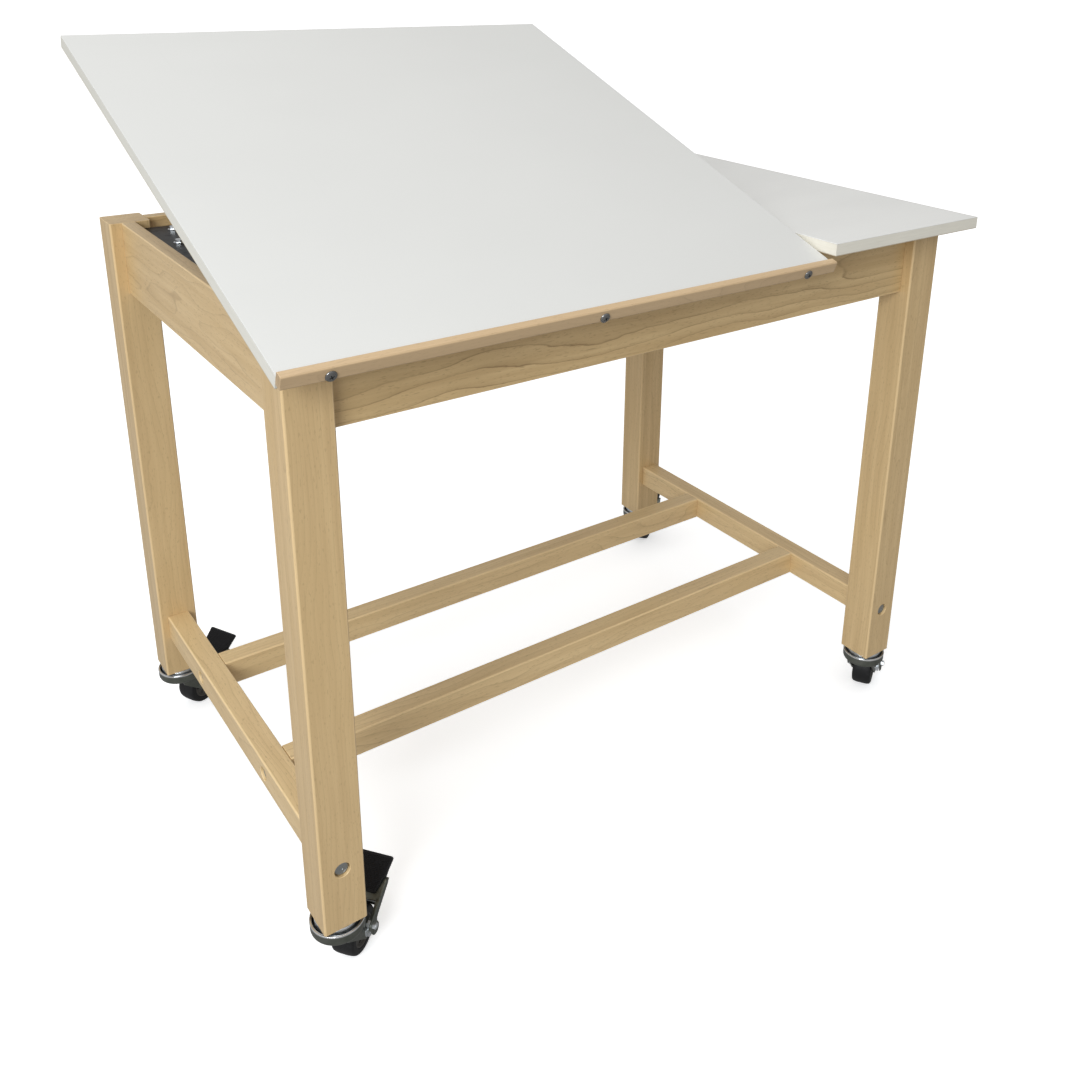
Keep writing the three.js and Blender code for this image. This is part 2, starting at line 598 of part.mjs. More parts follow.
function pedalPad() {
  const half = [
    [PAD.from, PAD.halfLow], [PAD.step - 3, PAD.halfStep - 1.5], [PAD.step, PAD.halfStep],
    [PAD.end - 2, PAD.halfHigh], [PAD.end, PAD.halfHigh - 2],
  ];
  const otherHalf = half.map(([u, y]) => [u, -y]).reverse();
  return plate(outline([...half, ...otherHalf]), 'z', GAP, GAP + PAD.thick);
}

const slope = THREE.MathUtils.degToRad(PEDAL.slope);
for (const corner of corners) {
  const caster = new THREE.Group();
  caster.position.set(corner.x, corner.y, 0);
  caster.rotation.z = THREE.MathUtils.degToRad(CASTER_TURN[corner.tag]);
  caster.add(part(`swivel_stem_${corner.tag}`, swivelStem(), ZINC));
  caster.add(part(`caster_fork_${corner.tag}`, fork(), GUNMETAL));
  caster.add(part(`caster_wheel_${corner.tag}`, wheel(), BLACK_RUBBER));
  caster.add(part(`wheel_axle_${corner.tag}`, axle(), ZINC));
  const lever = new THREE.Group();
  lever.position.set(PEDAL.x, 0, PEDAL.z);
  lever.rotation.y = -slope;
  lever.add(part(`brake_pedal_${corner.tag}`, brakePedal(), GUNMETAL));
  lever.add(part(`pedal_pad_${corner.tag}`, pedalPad(), BLACK_PLASTIC));
  caster.add(lever);
  table.add(caster);
}

// ---- the frame's origin is on the floor, under the middle of the whole table ----------------------
const extent = new THREE.Box3().setFromObject(table, true);
table.position.set(-(extent.min.x + extent.max.x) / 2, -(extent.min.y + extent.max.y) / 2, 0);

const root = new THREE.Group();
root.add(table);
export default root;
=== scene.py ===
"""Looks of a mobile drafting table: lacquered maple frame, a white hinged drawing board beside a fixed
worktop, a steel tilt lift under the board and four braked casters. Metres, in the CAD model's frame."""

import json
import math

import bmesh
import bpy
from mathutils import Matrix, Vector


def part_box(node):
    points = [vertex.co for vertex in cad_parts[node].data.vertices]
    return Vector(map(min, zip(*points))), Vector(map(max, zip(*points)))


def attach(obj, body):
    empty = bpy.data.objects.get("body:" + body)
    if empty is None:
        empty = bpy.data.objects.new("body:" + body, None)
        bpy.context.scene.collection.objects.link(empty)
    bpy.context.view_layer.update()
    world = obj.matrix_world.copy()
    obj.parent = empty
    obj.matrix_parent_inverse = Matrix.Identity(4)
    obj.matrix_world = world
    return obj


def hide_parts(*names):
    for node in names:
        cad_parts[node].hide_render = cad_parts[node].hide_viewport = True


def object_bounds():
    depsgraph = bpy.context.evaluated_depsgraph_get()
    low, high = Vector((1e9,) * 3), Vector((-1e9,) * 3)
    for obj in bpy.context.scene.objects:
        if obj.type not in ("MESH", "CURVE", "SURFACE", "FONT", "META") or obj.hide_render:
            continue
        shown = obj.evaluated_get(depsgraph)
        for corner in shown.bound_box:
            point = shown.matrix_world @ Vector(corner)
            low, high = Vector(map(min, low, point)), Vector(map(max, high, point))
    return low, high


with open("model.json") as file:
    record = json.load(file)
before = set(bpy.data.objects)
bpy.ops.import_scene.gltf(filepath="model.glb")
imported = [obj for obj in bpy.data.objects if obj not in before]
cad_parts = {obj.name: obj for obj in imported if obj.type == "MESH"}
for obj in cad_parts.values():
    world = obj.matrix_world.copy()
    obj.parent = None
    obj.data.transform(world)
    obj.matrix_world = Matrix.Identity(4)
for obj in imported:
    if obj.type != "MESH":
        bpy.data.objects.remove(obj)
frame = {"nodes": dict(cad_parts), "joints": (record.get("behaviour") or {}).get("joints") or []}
CAD_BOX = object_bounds()

MM = 0.001
BOARD_TILT = math.radians(20)
# The board's steepest tilt, degrees.
STEEPEST = 35
# Degrees from +X towards +Y in which each caster trails at rest.
CASTER_TURN = {"front_left": 37, "front_right": 31, "rear_left": 27, "rear_right": 37}
CORNERS = tuple(CASTER_TURN)
AXES = {"x": Vector((1, 0, 0)), "y": Vector((0, 1, 0)), "z": Vector((0, 0, 1))}


def joint_at(name):
    return Vector(next(joint["pos_m"] for joint in frame["joints"] if joint["name"] == name))


HINGE_PIVOT = joint_at("board_tilt")


# ---- node trees
def feed(tree, socket, value):
    """Links a socket to another node's output, or sets it to a value."""
    if isinstance(value, bpy.types.NodeSocket):
        tree.links.new(value, socket)
    elif value is not None:
        socket.default_value = value


def add_node(tree, kind, *values, **settings):
    """A shader node with its settings and, in order, what feeds its inputs."""
    node = tree.nodes.new("ShaderNode" + kind)
    for setting, value in settings.items():
        setattr(node, setting, value)
    for socket, value in zip(node.inputs, values):
        feed(tree, socket, value)
    return node


class Look:
    """One material's node tree: a Principled shader and short ways to add what feeds it."""

    def __init__(self, name, **shader):
        self.material = bpy.data.materials.new(name)
        self.material.use_nodes = True
        self.tree = self.material.node_tree
        self.shader = self.tree.nodes["Principled BSDF"]
        for socket, value in shader.items():
            self.shader.inputs[socket.replace("_", " ")].default_value = value

    def add(self, kind, *values, **settings):
        return add_node(self.tree, kind, *values, **settings)

    def math(self, operation, *values):
        return self.add("Math", *values, operation=operation).outputs[0]

    def vector(self, operation, *values):
        node = self.add("VectorMath", *values, operation=operation)
        return node.outputs["Value" if operation == "LENGTH" else "Vector"]

    def join(self, x, y, z):
        return self.add("CombineXYZ", x, y, z).outputs[0]

    def attribute(self, name):
        return self.add("Attribute", attribute_name=name)

    def place(self):
        return self.add("TexCoord").outputs["Object"]

    def noise(self, vector, scale, detail=3.0, roughness=0.5, stretch=None):
        if stretch:
            vector = self.vector("MULTIPLY", vector, stretch)
        node = self.add("TexNoise", vector)
        node.inputs["Scale"].default_value = scale
        node.inputs["Detail"].default_value = detail
        node.inputs["Roughness"].default_value = roughness
        return node.outputs["Fac"]

    def ramp(self, value, *stops):
        node = self.add("ValToRGB", value)
        points = node.color_ramp.elements
        while len(points) < len(stops):
            points.new(0.5)
        for point, (position, colour) in zip(points, stops):
            point.position = position
            point.color = colour if len(colour) == 4 else (*colour, 1)
        return node.outputs[0]

    def span(self, value, low, high, to_low=0.0, to_high=1.0):
        return self.add("MapRange", value, low, high, to_low, to_high).outputs[0]

    def mix(self, share, a, b):
        node = self.add("Mix", share, data_type="RGBA")
        for socket, value in ((node.inputs[6], a), (node.inputs[7], b)):
            feed(self.tree, socket, (*value, 1) if isinstance(value, tuple) else value)
        return node.outputs[2]

    def bump(self, height, strength, distance=MM):
        node = self.add("Bump", strength, distance)
        feed(self.tree, node.inputs["Height"], height)
        feed(self.tree, self.shader.inputs["Normal"], node.outputs[0])

    def finish(self, colour=None, roughness=None):
        feed(self.tree, self.shader.inputs["Base Color"], colour)
        feed(self.tree, self.shader.inputs["Roughness"], roughness)
        return self.material


# ---- materials
def shade_of(colour, share, tint=(1.0, 1.0, 1.0)):
    """A colour made darker or lighter by a share, and tinted."""
    return tuple(share * part * k for part, k in zip(colour, tint))


def maple(name, light, dark, ring=0.0042, figure=1.0, strip=0.0):
    """Lacquered hard maple. The grain attribute gives metres along and across each piece, seed is its
    own number, ring is the width of a year's growth and strip the width of glued-up staves."""
    look = Look(name, IOR=1.5, Coat_Weight=0.3, Coat_Roughness=0.22, Coat_IOR=1.5)
    grain = look.attribute("grain").outputs["Vector"]
    seed = look.attribute("seed").outputs["Fac"]
    across, deep = look.add("SeparateXYZ", grain).outputs[1:]
    stave = seed
    if strip:
        stave = look.math("ADD", seed, look.math("FLOOR", look.math("DIVIDE", across, strip)))
    shift = look.join(look.math("MULTIPLY", stave, 3.7), look.math("MULTIPLY", stave, 1.3),
                      look.math("MULTIPLY", stave, 2.1))
    spot = look.vector("ADD", grain, shift)

    wander = look.noise(spot, 1.0, 2.0, 0.5, (2.2, 9.0, 9.0))
    wobble = look.noise(spot, 1.0, 2.0, 0.55, (9.0, 26.0, 26.0))
    sway = look.math("MULTIPLY", look.math("SUBTRACT", wander, 0.5), 0.085)
    ripple = look.math("MULTIPLY", look.math("SUBTRACT", wobble, 0.5), 0.012)
    jitter = look.noise(spot, 1.0, 2.0, 0.6, (45.0, 150.0, 150.0))
    ripple = look.math("ADD", ripple, look.math("MULTIPLY", look.math("SUBTRACT", jitter, 0.5), 0.0022))
    core = look.math("SINE", look.math("MULTIPLY", stave, 2.4))
    ring_y = look.math("ADD", look.math("ADD", across, look.math("MULTIPLY", core, 0.03)), ripple)
    ring_z = look.math("ADD", look.math("ADD", deep, 0.055), sway)
    rings = look.vector("LENGTH", look.join(0.0, ring_y, ring_z))
    phase = look.math("FRACT", look.math("DIVIDE", rings, ring))
    late = look.ramp(phase, (0.0, (0.02,) * 3), (0.60, (0.12,) * 3), (0.88, (0.34,) * 3),
                     (0.94, (1.0,) * 3), (0.985, (0.05,) * 3))
    faint = look.span(look.noise(spot, 1.0, 2.0, 0.5, (7.0, 40.0, 40.0)), 0.35, 0.62, 0.35, 1.0)
    late = look.math("MULTIPLY", late, faint)

    fibre = look.noise(spot, 1.0, 4.0, 0.65, (18.0, 900.0, 900.0))
    streak = look.noise(spot, 1.0, 3.0, 0.55, (3.0, 75.0, 75.0))
    cloud = look.noise(spot, 1.0, 2.0, 0.5, (4.0, 11.0, 11.0))
    fleck = look.span(look.noise(spot, 1.0, 1.0, 0.4, (130.0, 700.0, 700.0)), 0.62, 0.72)
    mineral = look.span(look.noise(spot, 1.0, 2.0, 0.5, (9.0, 160.0, 160.0)), 0.755, 0.80)

    mild = tuple(0.40 * a + 0.60 * b for a, b in zip(light, dark))
    colour = look.mix(look.span(streak, 0.34, 0.72, 0.0, 0.85), light, mild)
    colour = look.mix(look.math("MULTIPLY", late, 0.95 * figure), colour,
                      shade_of(dark, 0.62))
    colour = look.mix(look.span(fibre, 0.30, 0.75, 0.0, 0.22), colour, dark)
    colour = look.mix(look.span(cloud, 0.40, 0.70, 0.0, 0.45), colour,
                      shade_of(light, 0.80, (1.0, 0.955, 0.86)))
    colour = look.mix(look.math("MULTIPLY", fleck, 0.34), colour,
                      shade_of(dark, 0.62))
    colour = look.mix(look.math("MULTIPLY", mineral, 0.45), colour,
                      shade_of(dark, 0.45))
    if strip:
        tone = look.add("TexWhiteNoise", noise_dimensions="1D")
        feed(look.tree, tone.inputs["W"], stave)
        colour = look.mix(look.span(tone.outputs["Value"], 0.0, 1.0, 0.0, 0.30), colour, mild)
        edge = look.math("FRACT", look.math("DIVIDE", across, strip))
        joint = look.math("LESS_THAN", edge, 0.022)
        colour = look.mix(look.math("MULTIPLY", joint, 0.35), colour, shade_of(dark, 0.6))
    # Painted highlight: rounded edges and bored walls are drawn lighter and bluer, as if catching the
    # light.
    eased = look.attribute("eased").outputs["Fac"]
    colour = look.mix(look.math("MULTIPLY", eased, 0.38), colour,
                      shade_of(light, 1.22, (1.0, 1.02, 1.08)))
    relief = look.math("ADD", look.math("MULTIPLY", fibre, 0.7), look.math("MULTIPLY", late, 0.3))
    look.bump(relief, 0.10, 0.25 * MM)
    gloss = look.math("ADD", look.span(streak, 0.3, 0.7, 0.36, 0.46),
                      look.span(cloud, 0.3, 0.7, -0.04, 0.05))
    return look.finish(colour, gloss)


def laminate(name, colour, roughness=0.34):
    """High-pressure laminate: a fine suede texture, faint handling marks in the gloss."""
    look = Look(name, IOR=1.5, Coat_Weight=0.12, Coat_Roughness=0.12)
    place = look.place()
    cloud = look.noise(place, 2.3, 3.0, 0.5)
    wiped = look.noise(place, 1.0, 4.0, 0.6, (5.0, 16.0, 9.0))
    speck = look.span(look.noise(place, 420.0, 1.0, 0.3), 0.74, 0.82)
    scuff = look.span(look.noise(place, 1.0, 2.0, 0.5, (260.0, 6.0, 40.0)), 0.71, 0.80)
    shade = look.mix(look.span(cloud, 0.3, 0.7), colour, shade_of(colour, 0.972))
    shade = look.mix(look.math("MULTIPLY", speck, 0.10), shade, shade_of(colour, 0.55))
    shade = look.mix(look.math("MULTIPLY", scuff, 0.05), shade, shade_of(colour, 0.7))
    look.bump(look.noise(place, 1600.0, 2.0, 0.6), 0.07, 0.12 * MM)
    gloss = look.math("ADD", look.span(wiped, 0.3, 0.7, roughness - 0.05, roughness + 0.06),
                      look.math("MULTIPLY", scuff, 0.12))
    return look.finish(shade, gloss)


def edge_band(name, colour):
    """Plain plastic edging, slightly uneven where it was trimmed and rubbed."""
    look = Look(name, IOR=1.48)
    place = look.place()
    rub = look.noise(place, 1.0, 4.0, 0.6, (30.0, 30.0, 500.0))
    cloud = look.noise(place, 14.0, 3.0, 0.5)
    shade = look.mix(look.span(rub, 0.35, 0.7), colour, shade_of(colour, 0.93))
    shade = look.mix(look.span(cloud, 0.4, 0.75, 0.0, 0.4), shade, shade_of(colour, 0.90))
    look.bump(rub, 0.12, 0.2 * MM)
    return look.finish(shade, look.span(cloud, 0.3, 0.7, 0.38, 0.52))


def bare_metal(name, colour, roughness, tint=None):
    """Plated steel: cloudy plating, fine scratches, and grime spots that darken it and dull its gloss.
    """
    look = Look(name, Metallic=1.0)
    place = look.place()
    cloud = look.noise(place, 70.0, 3.0, 0.55)
    scratch = look.noise(place, 1.0, 3.0, 0.6, (900.0, 120.0, 300.0))
    grime = look.span(look.noise(place, 190.0, 2.0, 0.5), 0.62, 0.78)
    shade = look.mix(look.span(cloud, 0.3, 0.7), colour, tint or shade_of(colour, 0.82))
    shade = look.mix(look.math("MULTIPLY", grime, 0.35), shade, shade_of(colour, 0.45))
    look.bump(scratch, 0.10, 0.10 * MM)
    gloss = look.math("ADD", look.span(scratch, 0.3, 0.7, roughness - 0.07, roughness + 0.08),
                      look.math("MULTIPLY", grime, 0.15))
    return look.finish(shade, gloss)


def enamel(name, colour, roughness=0.36):
    """Baked enamel on steel: orange peel, dust and rubbed spots."""
    look = Look(name, IOR=1.5, Specular_IOR_Level=0.18, Coat_Weight=0.05, Coat_Roughness=0.25)
    place = look.place()
    peel = look.noise(place, 650.0, 2.0, 0.5)
    dust = look.span(look.noise(place, 60.0, 4.0, 0.65), 0.52, 0.78)
    shade = look.mix(look.math("MULTIPLY", dust, 0.30), colour, tuple(c * 1.6 + 0.005 for c in colour))
    look.bump(peel, 0.12, 0.2 * MM)
    return look.finish(shade, look.span(dust, 0.0, 1.0, roughness, roughness + 0.22))


def moulded(name, colour, roughness, grain=900.0):
    """Moulded rubber or plastic: fine mould texture, scuffs that turn it greyer."""
    look = Look(name, IOR=1.5, Specular_IOR_Level=0.3)
    place = look.place()
    skin = look.noise(place, grain, 2.0, 0.6)
    scuff = look.span(look.noise(place, 95.0, 4.0, 0.7), 0.54, 0.74)
    shade = look.mix(look.math("MULTIPLY", scuff, 0.45), colour,
                     tuple(c * 2.2 + 0.012 for c in colour))
    look.bump(skin, 0.18, 0.15 * MM)
    return look.finish(shade, look.span(scuff, 0.0, 1.0, roughness, roughness + 0.18))


LEG_WOOD = maple("maple_leg", (0.77, 0.562, 0.292), (0.47, 0.305, 0.135), 0.0055, 0.45, 0.0187)
APRON_WOOD = maple("maple_apron", (0.77, 0.562, 0.292), (0.45, 0.285, 0.118), 0.0075, 0.55)
FIGURED_WOOD = maple("maple_figured", (0.75, 0.548, 0.280), (0.43, 0.268, 0.108), 0.0095, 1.0)
# The rails' maple is a lit copy, painted lighter than the legs' for the bright light on the stretchers'
# tops.
RAIL_WOOD_LIT = maple("maple_rail_lit", (0.85, 0.632, 0.337), (0.53, 0.348, 0.156), 0.0065, 0.55)
# The ledge's maple is a shaded copy, painted darker for the shade on its downward-tilted front.
LEDGE_WOOD_SHADED = maple("maple_ledge_shaded", (0.57, 0.405, 0.228), (0.36, 0.236, 0.118), 0.0040, 0.5)
# The board's laminate is a shaded copy of the fixed top's: painted darker to carry how light falls on
# the board.
BOARD_SHADED_WHITE = laminate("laminate_board_shaded", (0.66, 0.658, 0.633))
TOP_WHITE = laminate("laminate_fixed", (0.80, 0.795, 0.765))
BOARD_EDGE = edge_band("edge_board", (0.74, 0.72, 0.65))
TOP_EDGE = edge_band("edge_fixed", (0.82, 0.785, 0.685))
BACKER = laminate("laminate_backer", (0.55, 0.48, 0.37), 0.5)
ZINC = bare_metal("zinc_plate", (0.80, 0.82, 0.83), 0.34, tint=(0.70, 0.73, 0.76))
STEEL = bare_metal("turned_steel", (0.80, 0.81, 0.82), 0.17)
GUNMETAL = bare_metal("gunmetal_plate", (0.20, 0.207, 0.182), 0.36, tint=(0.14, 0.15, 0.128))
SCREW_STEEL = bare_metal("screw_steel", (0.30, 0.30, 0.295), 0.26)
BOLT_ZINC = bare_metal("bolt_zinc", (0.40, 0.42, 0.42), 0.44)
BLACK_ENAMEL = enamel("black_enamel", (0.007, 0.0075, 0.0085))
TYRE = moulded("tyre_black", (0.009, 0.009, 0.0095), 0.50)
HUB = moulded("hub_grey", (0.075, 0.070, 0.062), 0.42, 600.0)
PAD = moulded("pad_black", (0.011, 0.011, 0.013), 0.42, 1200.0)
# SHADOW is painted shadow: a near-black fill for the ledge screws' cross recesses.
SHADOW = moulded("painted_shadow_black", (0.006, 0.006, 0.006), 0.5)


# ---- mesh helpers
SHARP = math.radians(35)


def linked(name, data):
    """A new object in the scene that shows some data."""
    thing = bpy.data.objects.new(name, data)
    bpy.context.scene.collection.objects.link(thing)
    return thing


def bare_object(name, made):
    mesh = bpy.data.meshes.new(name)
    made.to_mesh(mesh)
    made.free()
    return linked(name, mesh)


def to_object(name, mesh_data, material):
    """A bmesh becomes an object, smooth but for its sharp edges."""
    bmesh.ops.recalc_face_normals(mesh_data, faces=mesh_data.faces)
    for face in mesh_data.faces:
        face.smooth = True
    for edge in mesh_data.edges:
        edge.smooth = edge.is_manifold and edge.calc_face_angle(0) < SHARP
    made = bare_object(name, mesh_data)
    made.data.materials.append(material)
    weighted = made.modifiers.new("flat faces stay flat", "WEIGHTED_NORMAL")
    weighted.keep_sharp = True
    weighted.weight = 80
    return made


def block(low, high, ease=0.0, segments=3, only=None):
    """A box with rounded edges; only picks the edges that run along one axis."""
    low, high = Vector(low), Vector(high)
    made = bmesh.new()
    bmesh.ops.create_cube(made, size=1.0)
    middle, size = (low + high) / 2, high - low
    bmesh.ops.transform(made, matrix=Matrix.Translation(middle) @ Matrix.Diagonal((*size, 1)),
                        verts=made.verts)
    if ease:
        soften(made, ease, segments, only)
    return made


def soften(made, ease, segments=3, only=None, above=30):
    """Rounds a mesh's hard edges, or just those along the axis called only."""
    def wanted(edge):
        if edge.calc_face_angle(0) < math.radians(above):
            return False
        way = (edge.verts[1].co - edge.verts[0].co).normalized()
        return only is None or abs(way.dot(AXES[only])) > 0.99
    edges = [edge for edge in made.edges if edge.is_manifold and wanted(edge)]
    bmesh.ops.bevel(made, geom=edges, offset=ease, segments=segments, profile=0.5,
                    affect="EDGES", clamp_overlap=True)


def lathe(profile, segments=48, axis="z"):
    """A closed outline of (radius, height) turned about an axis; points on the axis close it."""
    made = bmesh.new()
    rings = []
    for radius, height in profile:
        if radius < 1e-7:
            rings.append([made.verts.new((0, 0, height))])
            continue
        turns = [2 * math.pi * i / segments for i in range(segments)]
        rings.append([made.verts.new((radius * math.cos(t), radius * math.sin(t), height))
                      for t in turns])
    closed = profile[0][0] > 1e-7
    pairs = list(zip(rings, rings[1:])) + ([(rings[-1], rings[0])] if closed else [])
    for a, b in pairs:
        for i in range(segments):
            j = (i + 1) % segments
            corners = [a[i % len(a)], a[j % len(a)], b[j % len(b)], b[i % len(b)]]
            corners = [v for k, v in enumerate(corners) if v not in corners[:k]]
            if len(corners) > 2:
                made.faces.new(corners)
    if axis != "z":
        bmesh.ops.rotate(made, verts=made.verts, cent=(0, 0, 0), matrix=Vector((0, 0, 1))
                         .rotation_difference(AXES[axis]).to_matrix())
    return made


def prism(outline, low, high, axis="z", ease=0.0, segments=2):
    """A flat outline given depth along an axis: x takes (y, z) points, y takes (x, z), z (x, y)."""
    place = {"x": lambda a, b, c: (c, a, b), "y": lambda a, b, c: (a, c, b),
             "z": lambda a, b, c: (a, b, c)}[axis]
    made = bmesh.new()
    bottom = [made.verts.new(place(a, b, low)) for a, b in outline]
    top = [made.verts.new(place(a, b, high)) for a, b in outline]
    made.faces.new(bottom)
    made.faces.new(list(reversed(top)))
    for i in range(len(outline)):
        j = (i + 1) % len(outline)
        made.faces.new((bottom[i], bottom[j], top[j], top[i]))
    bmesh.ops.recalc_face_normals(made, faces=made.faces)
    if ease:
        soften(made, ease, segments, above=40)
    return made


def arc(centre, radius, start, end, steps=8):
    """Points on a circle, angles in degrees."""
    turns = [math.radians(start + (end - start) * i / steps) for i in range(steps + 1)]
    return [(centre[0] + radius * math.cos(t), centre[1] + radius * math.sin(t)) for t in turns]


def sized(points):
    """Millimetre pairs as metres."""
    return [(a * MM, b * MM) for a, b in points]


def moved(made, x=0.0, y=0.0, z=0.0):
    bmesh.ops.translate(made, verts=made.verts, vec=(x, y, z))
    return made


def merged(*parts):
    """Several closed shapes as one mesh."""
    whole = bmesh.new()
    for made in parts:
        mesh = bpy.data.meshes.new("part")
        made.to_mesh(mesh)
        made.free()
        whole.from_mesh(mesh)
        bpy.data.meshes.remove(mesh)
    return whole


def joined(base, others, operation="DIFFERENCE"):
    """Cuts shapes out of a base, or adds them to it, as one clean surface."""
    body = bare_object("blank", base)
    tools = []
    for made in others:
        bmesh.ops.recalc_face_normals(made, faces=made.faces)
        tools.append(bare_object("tool", made))
        modifier = body.modifiers.new("cut", "BOOLEAN")
        modifier.operation = operation
        modifier.solver = "EXACT"
        modifier.object = tools[-1]
    shaped = body.evaluated_get(bpy.context.evaluated_depsgraph_get()).to_mesh()
    result = bmesh.new()
    result.from_mesh(shaped)
    for old in [body, *tools]:
        mesh = old.data
        bpy.data.objects.remove(old)
        bpy.data.meshes.remove(mesh)
    return result


def piece(name, made, material, body, node=None, matrix=None):
    """Makes a named piece that rides on a body and, if asked, stands for a CAD node."""
    thing = to_object(name, made, material)
    if matrix is not None:
        thing.matrix_world = matrix
    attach(thing, body)
    if node:
        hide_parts(node)
    return thing


def extent(points):
    """The lowest and highest corner of some points."""
    return (Vector(min(p[i] for p in points) for i in range(3)),
            Vector(max(p[i] for p in points) for i in range(3)))


def write_values(mesh, name, kind, domain, key, values):
    mesh.attributes.new(name, kind, domain)
    mesh.attributes[name].data.foreach_set(key, values)


def set_grain(thing, along, seed, face):
    """Writes each point's place in the wood: metres along the grain, across it, and into its face."""
    mesh = thing.data
    points = [vertex.co.copy() for vertex in mesh.vertices]
    low, high = extent(points)
    middle = (low + high) / 2
    across = next(axis for axis in "xyz" if axis not in (along, face))
    order = ["xyz".index(axis) for axis in (along, across, face)]
    places = [point[k] - middle[k] for point in points for k in order]
    write_values(mesh, "grain", "FLOAT_VECTOR", "POINT", "vector", places)
    write_values(mesh, "seed", "FLOAT", "POINT", "value", [seed] * len(points))


def mark_edge_highlight(thing, tilt=0.0):
    """Flags a piece's rounded edges and bored walls, where the maple is drawn lighter as a painted
    highlight.
    """
    mesh = thing.data
    level = Matrix.Rotation(-tilt, 3, "X")
    flags = [float(max(abs(part) for part in level @ face.normal) < 0.985) for face in mesh.polygons]
    write_values(mesh, "eased", "FLOAT", "FACE", "value", flags)


# ---- wooden frame
COUNTERBORE = 10 * MM
BORE = 4.4 * MM
SINK = 9 * MM
STEM_BORE = 7.9 * MM
# How far the long edges of each timber are rounded.
LEG_EASE, APRON_EASE, SPLIT_EASE, RAIL_EASE = 2.6 * MM, 1.6 * MM, 1.2 * MM, 2.2 * MM


def timber(node, material, along, ease, seed, face, cuts=(), end_ease=0.7 * MM):
    """A planed rail of the CAD node's size, its long edges eased, with round or slanted cuts."""
    low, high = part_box(node)
    made = block(low, high)
    soften(made, ease, 4, along)
    soften(made, end_ease, 2, above=60)
    if cuts:
        made = joined(made, cuts)
    thing = piece(f"{node}_wood", made, material, "frame", node)
    set_grain(thing, along, seed, face)
    mark_edge_highlight(thing)


def hole(axis, at, radius, start, end):
    """A round cutter along an axis from one coordinate to another, through the point at."""
    made = lathe([(0, start), (radius, start), (radius, end), (0, end)], 56, axis)
    flat = Vector(at)
    flat["xyz".index(axis)] = 0
    return moved(made, *flat)


def mouth(axis, at, face, outward):
    """The counterbore of a bolt: a straight sink with a broken edge, and the bore behind it."""
    start, end = sorted((face - outward * SINK, face + outward * 2 * MM))
    deep, through = sorted((face - outward * SINK * 1.2, face - outward * 60 * MM))
    rim = lathe([(0, 0), (COUNTERBORE - 0.1 * MM, 0), (COUNTERBORE + 1.4 * MM, 1.5 * MM),
                 (0, 1.5 * MM)], 56, axis)
    if outward < 0:
        bmesh.ops.scale(rim, vec=[-1 if a == axis else 1 for a in "xyz"], verts=rim.verts)
    centre = Vector(at)
    centre["xyz".index(axis)] = face - outward * 0.7 * MM
    return [hole(axis, at, COUNTERBORE, start, end), moved(rim, *centre),
            hole(axis, at, BORE, deep, through)]


def middle_of(node):
    low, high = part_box(node)
    return (low + high) / 2


def make_frame():
    for i, corner in enumerate(CORNERS):
        node = f"leg_{corner}"
        low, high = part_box(node)
        middle = (low + high) / 2
        outward = 1 if "rear" in corner else -1
        bolt = middle_of(f"leg_bolt_{corner}")
        cuts = mouth("y", (middle.x, 0, bolt.z), high.y if outward > 0 else low.y, outward)
        stem_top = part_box(f"swivel_stem_{corner}")[1].z + MM
        cuts.append(hole("z", middle, STEM_BORE, low.z - 5 * MM, stem_top))
        if corner == "front_left":
            cuts.append(board_relief(low, high))
        timber(node, LEG_WOOD, "z", LEG_EASE, 0.37 + 1.9 * i, "y" if i % 2 else "x", cuts)

    low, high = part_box("apron_front")
    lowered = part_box("split_rail")[1].x
    notch = block((low.x - MM, low.y - MM, high.z - 2.9 * MM), (lowered, high.y + MM, high.z + MM))
    timber("apron_front", FIGURED_WOOD, "x", APRON_EASE, 4.3, "y", [notch])
    timber("apron_rear", APRON_WOOD, "x", APRON_EASE, 9.1, "y")
    timber("apron_left", APRON_WOOD, "y", APRON_EASE, 2.6, "x")
    timber("apron_right", APRON_WOOD, "y", APRON_EASE, 6.8, "x")
    timber("split_rail", APRON_WOOD, "y", SPLIT_EASE, 7.7, "x")

    for i, side in enumerate(("left", "right")):
        node = f"side_stretcher_{side}"
        low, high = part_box(node)
        outward = -1 if side == "left" else 1
        cuts = []
        for end in ("front", "rear"):
            bolt = middle_of(f"stretcher_bolt_{end}_{side}")
            cuts += mouth("x", (0, bolt.y, bolt.z), low.x if outward < 0 else high.x, outward)
        timber(node, RAIL_WOOD_LIT, "y", RAIL_EASE, 1.4 + 3.3 * i, "x", cuts)
    timber("long_stretcher_front", RAIL_WOOD_LIT, "x", RAIL_EASE, 8.2, "y")
    timber("long_stretcher_rear", RAIL_WOOD_LIT, "x", RAIL_EASE, 5.5, "y")


def board_relief(low, high):
    """The bevel that lets the board's front edge swing past the leg."""
    start = HINGE_PIVOT.y + 1.5 * MM
    front = low.y - MM
    drop = (start - front) * math.tan(math.radians(STEEPEST) + 0.03)
    wedge = [(start, high.z + MM), (start, high.z), (front, high.z - drop), (front, high.z + MM)]
    return prism(wedge, low.x - MM, high.x + MM, "x")


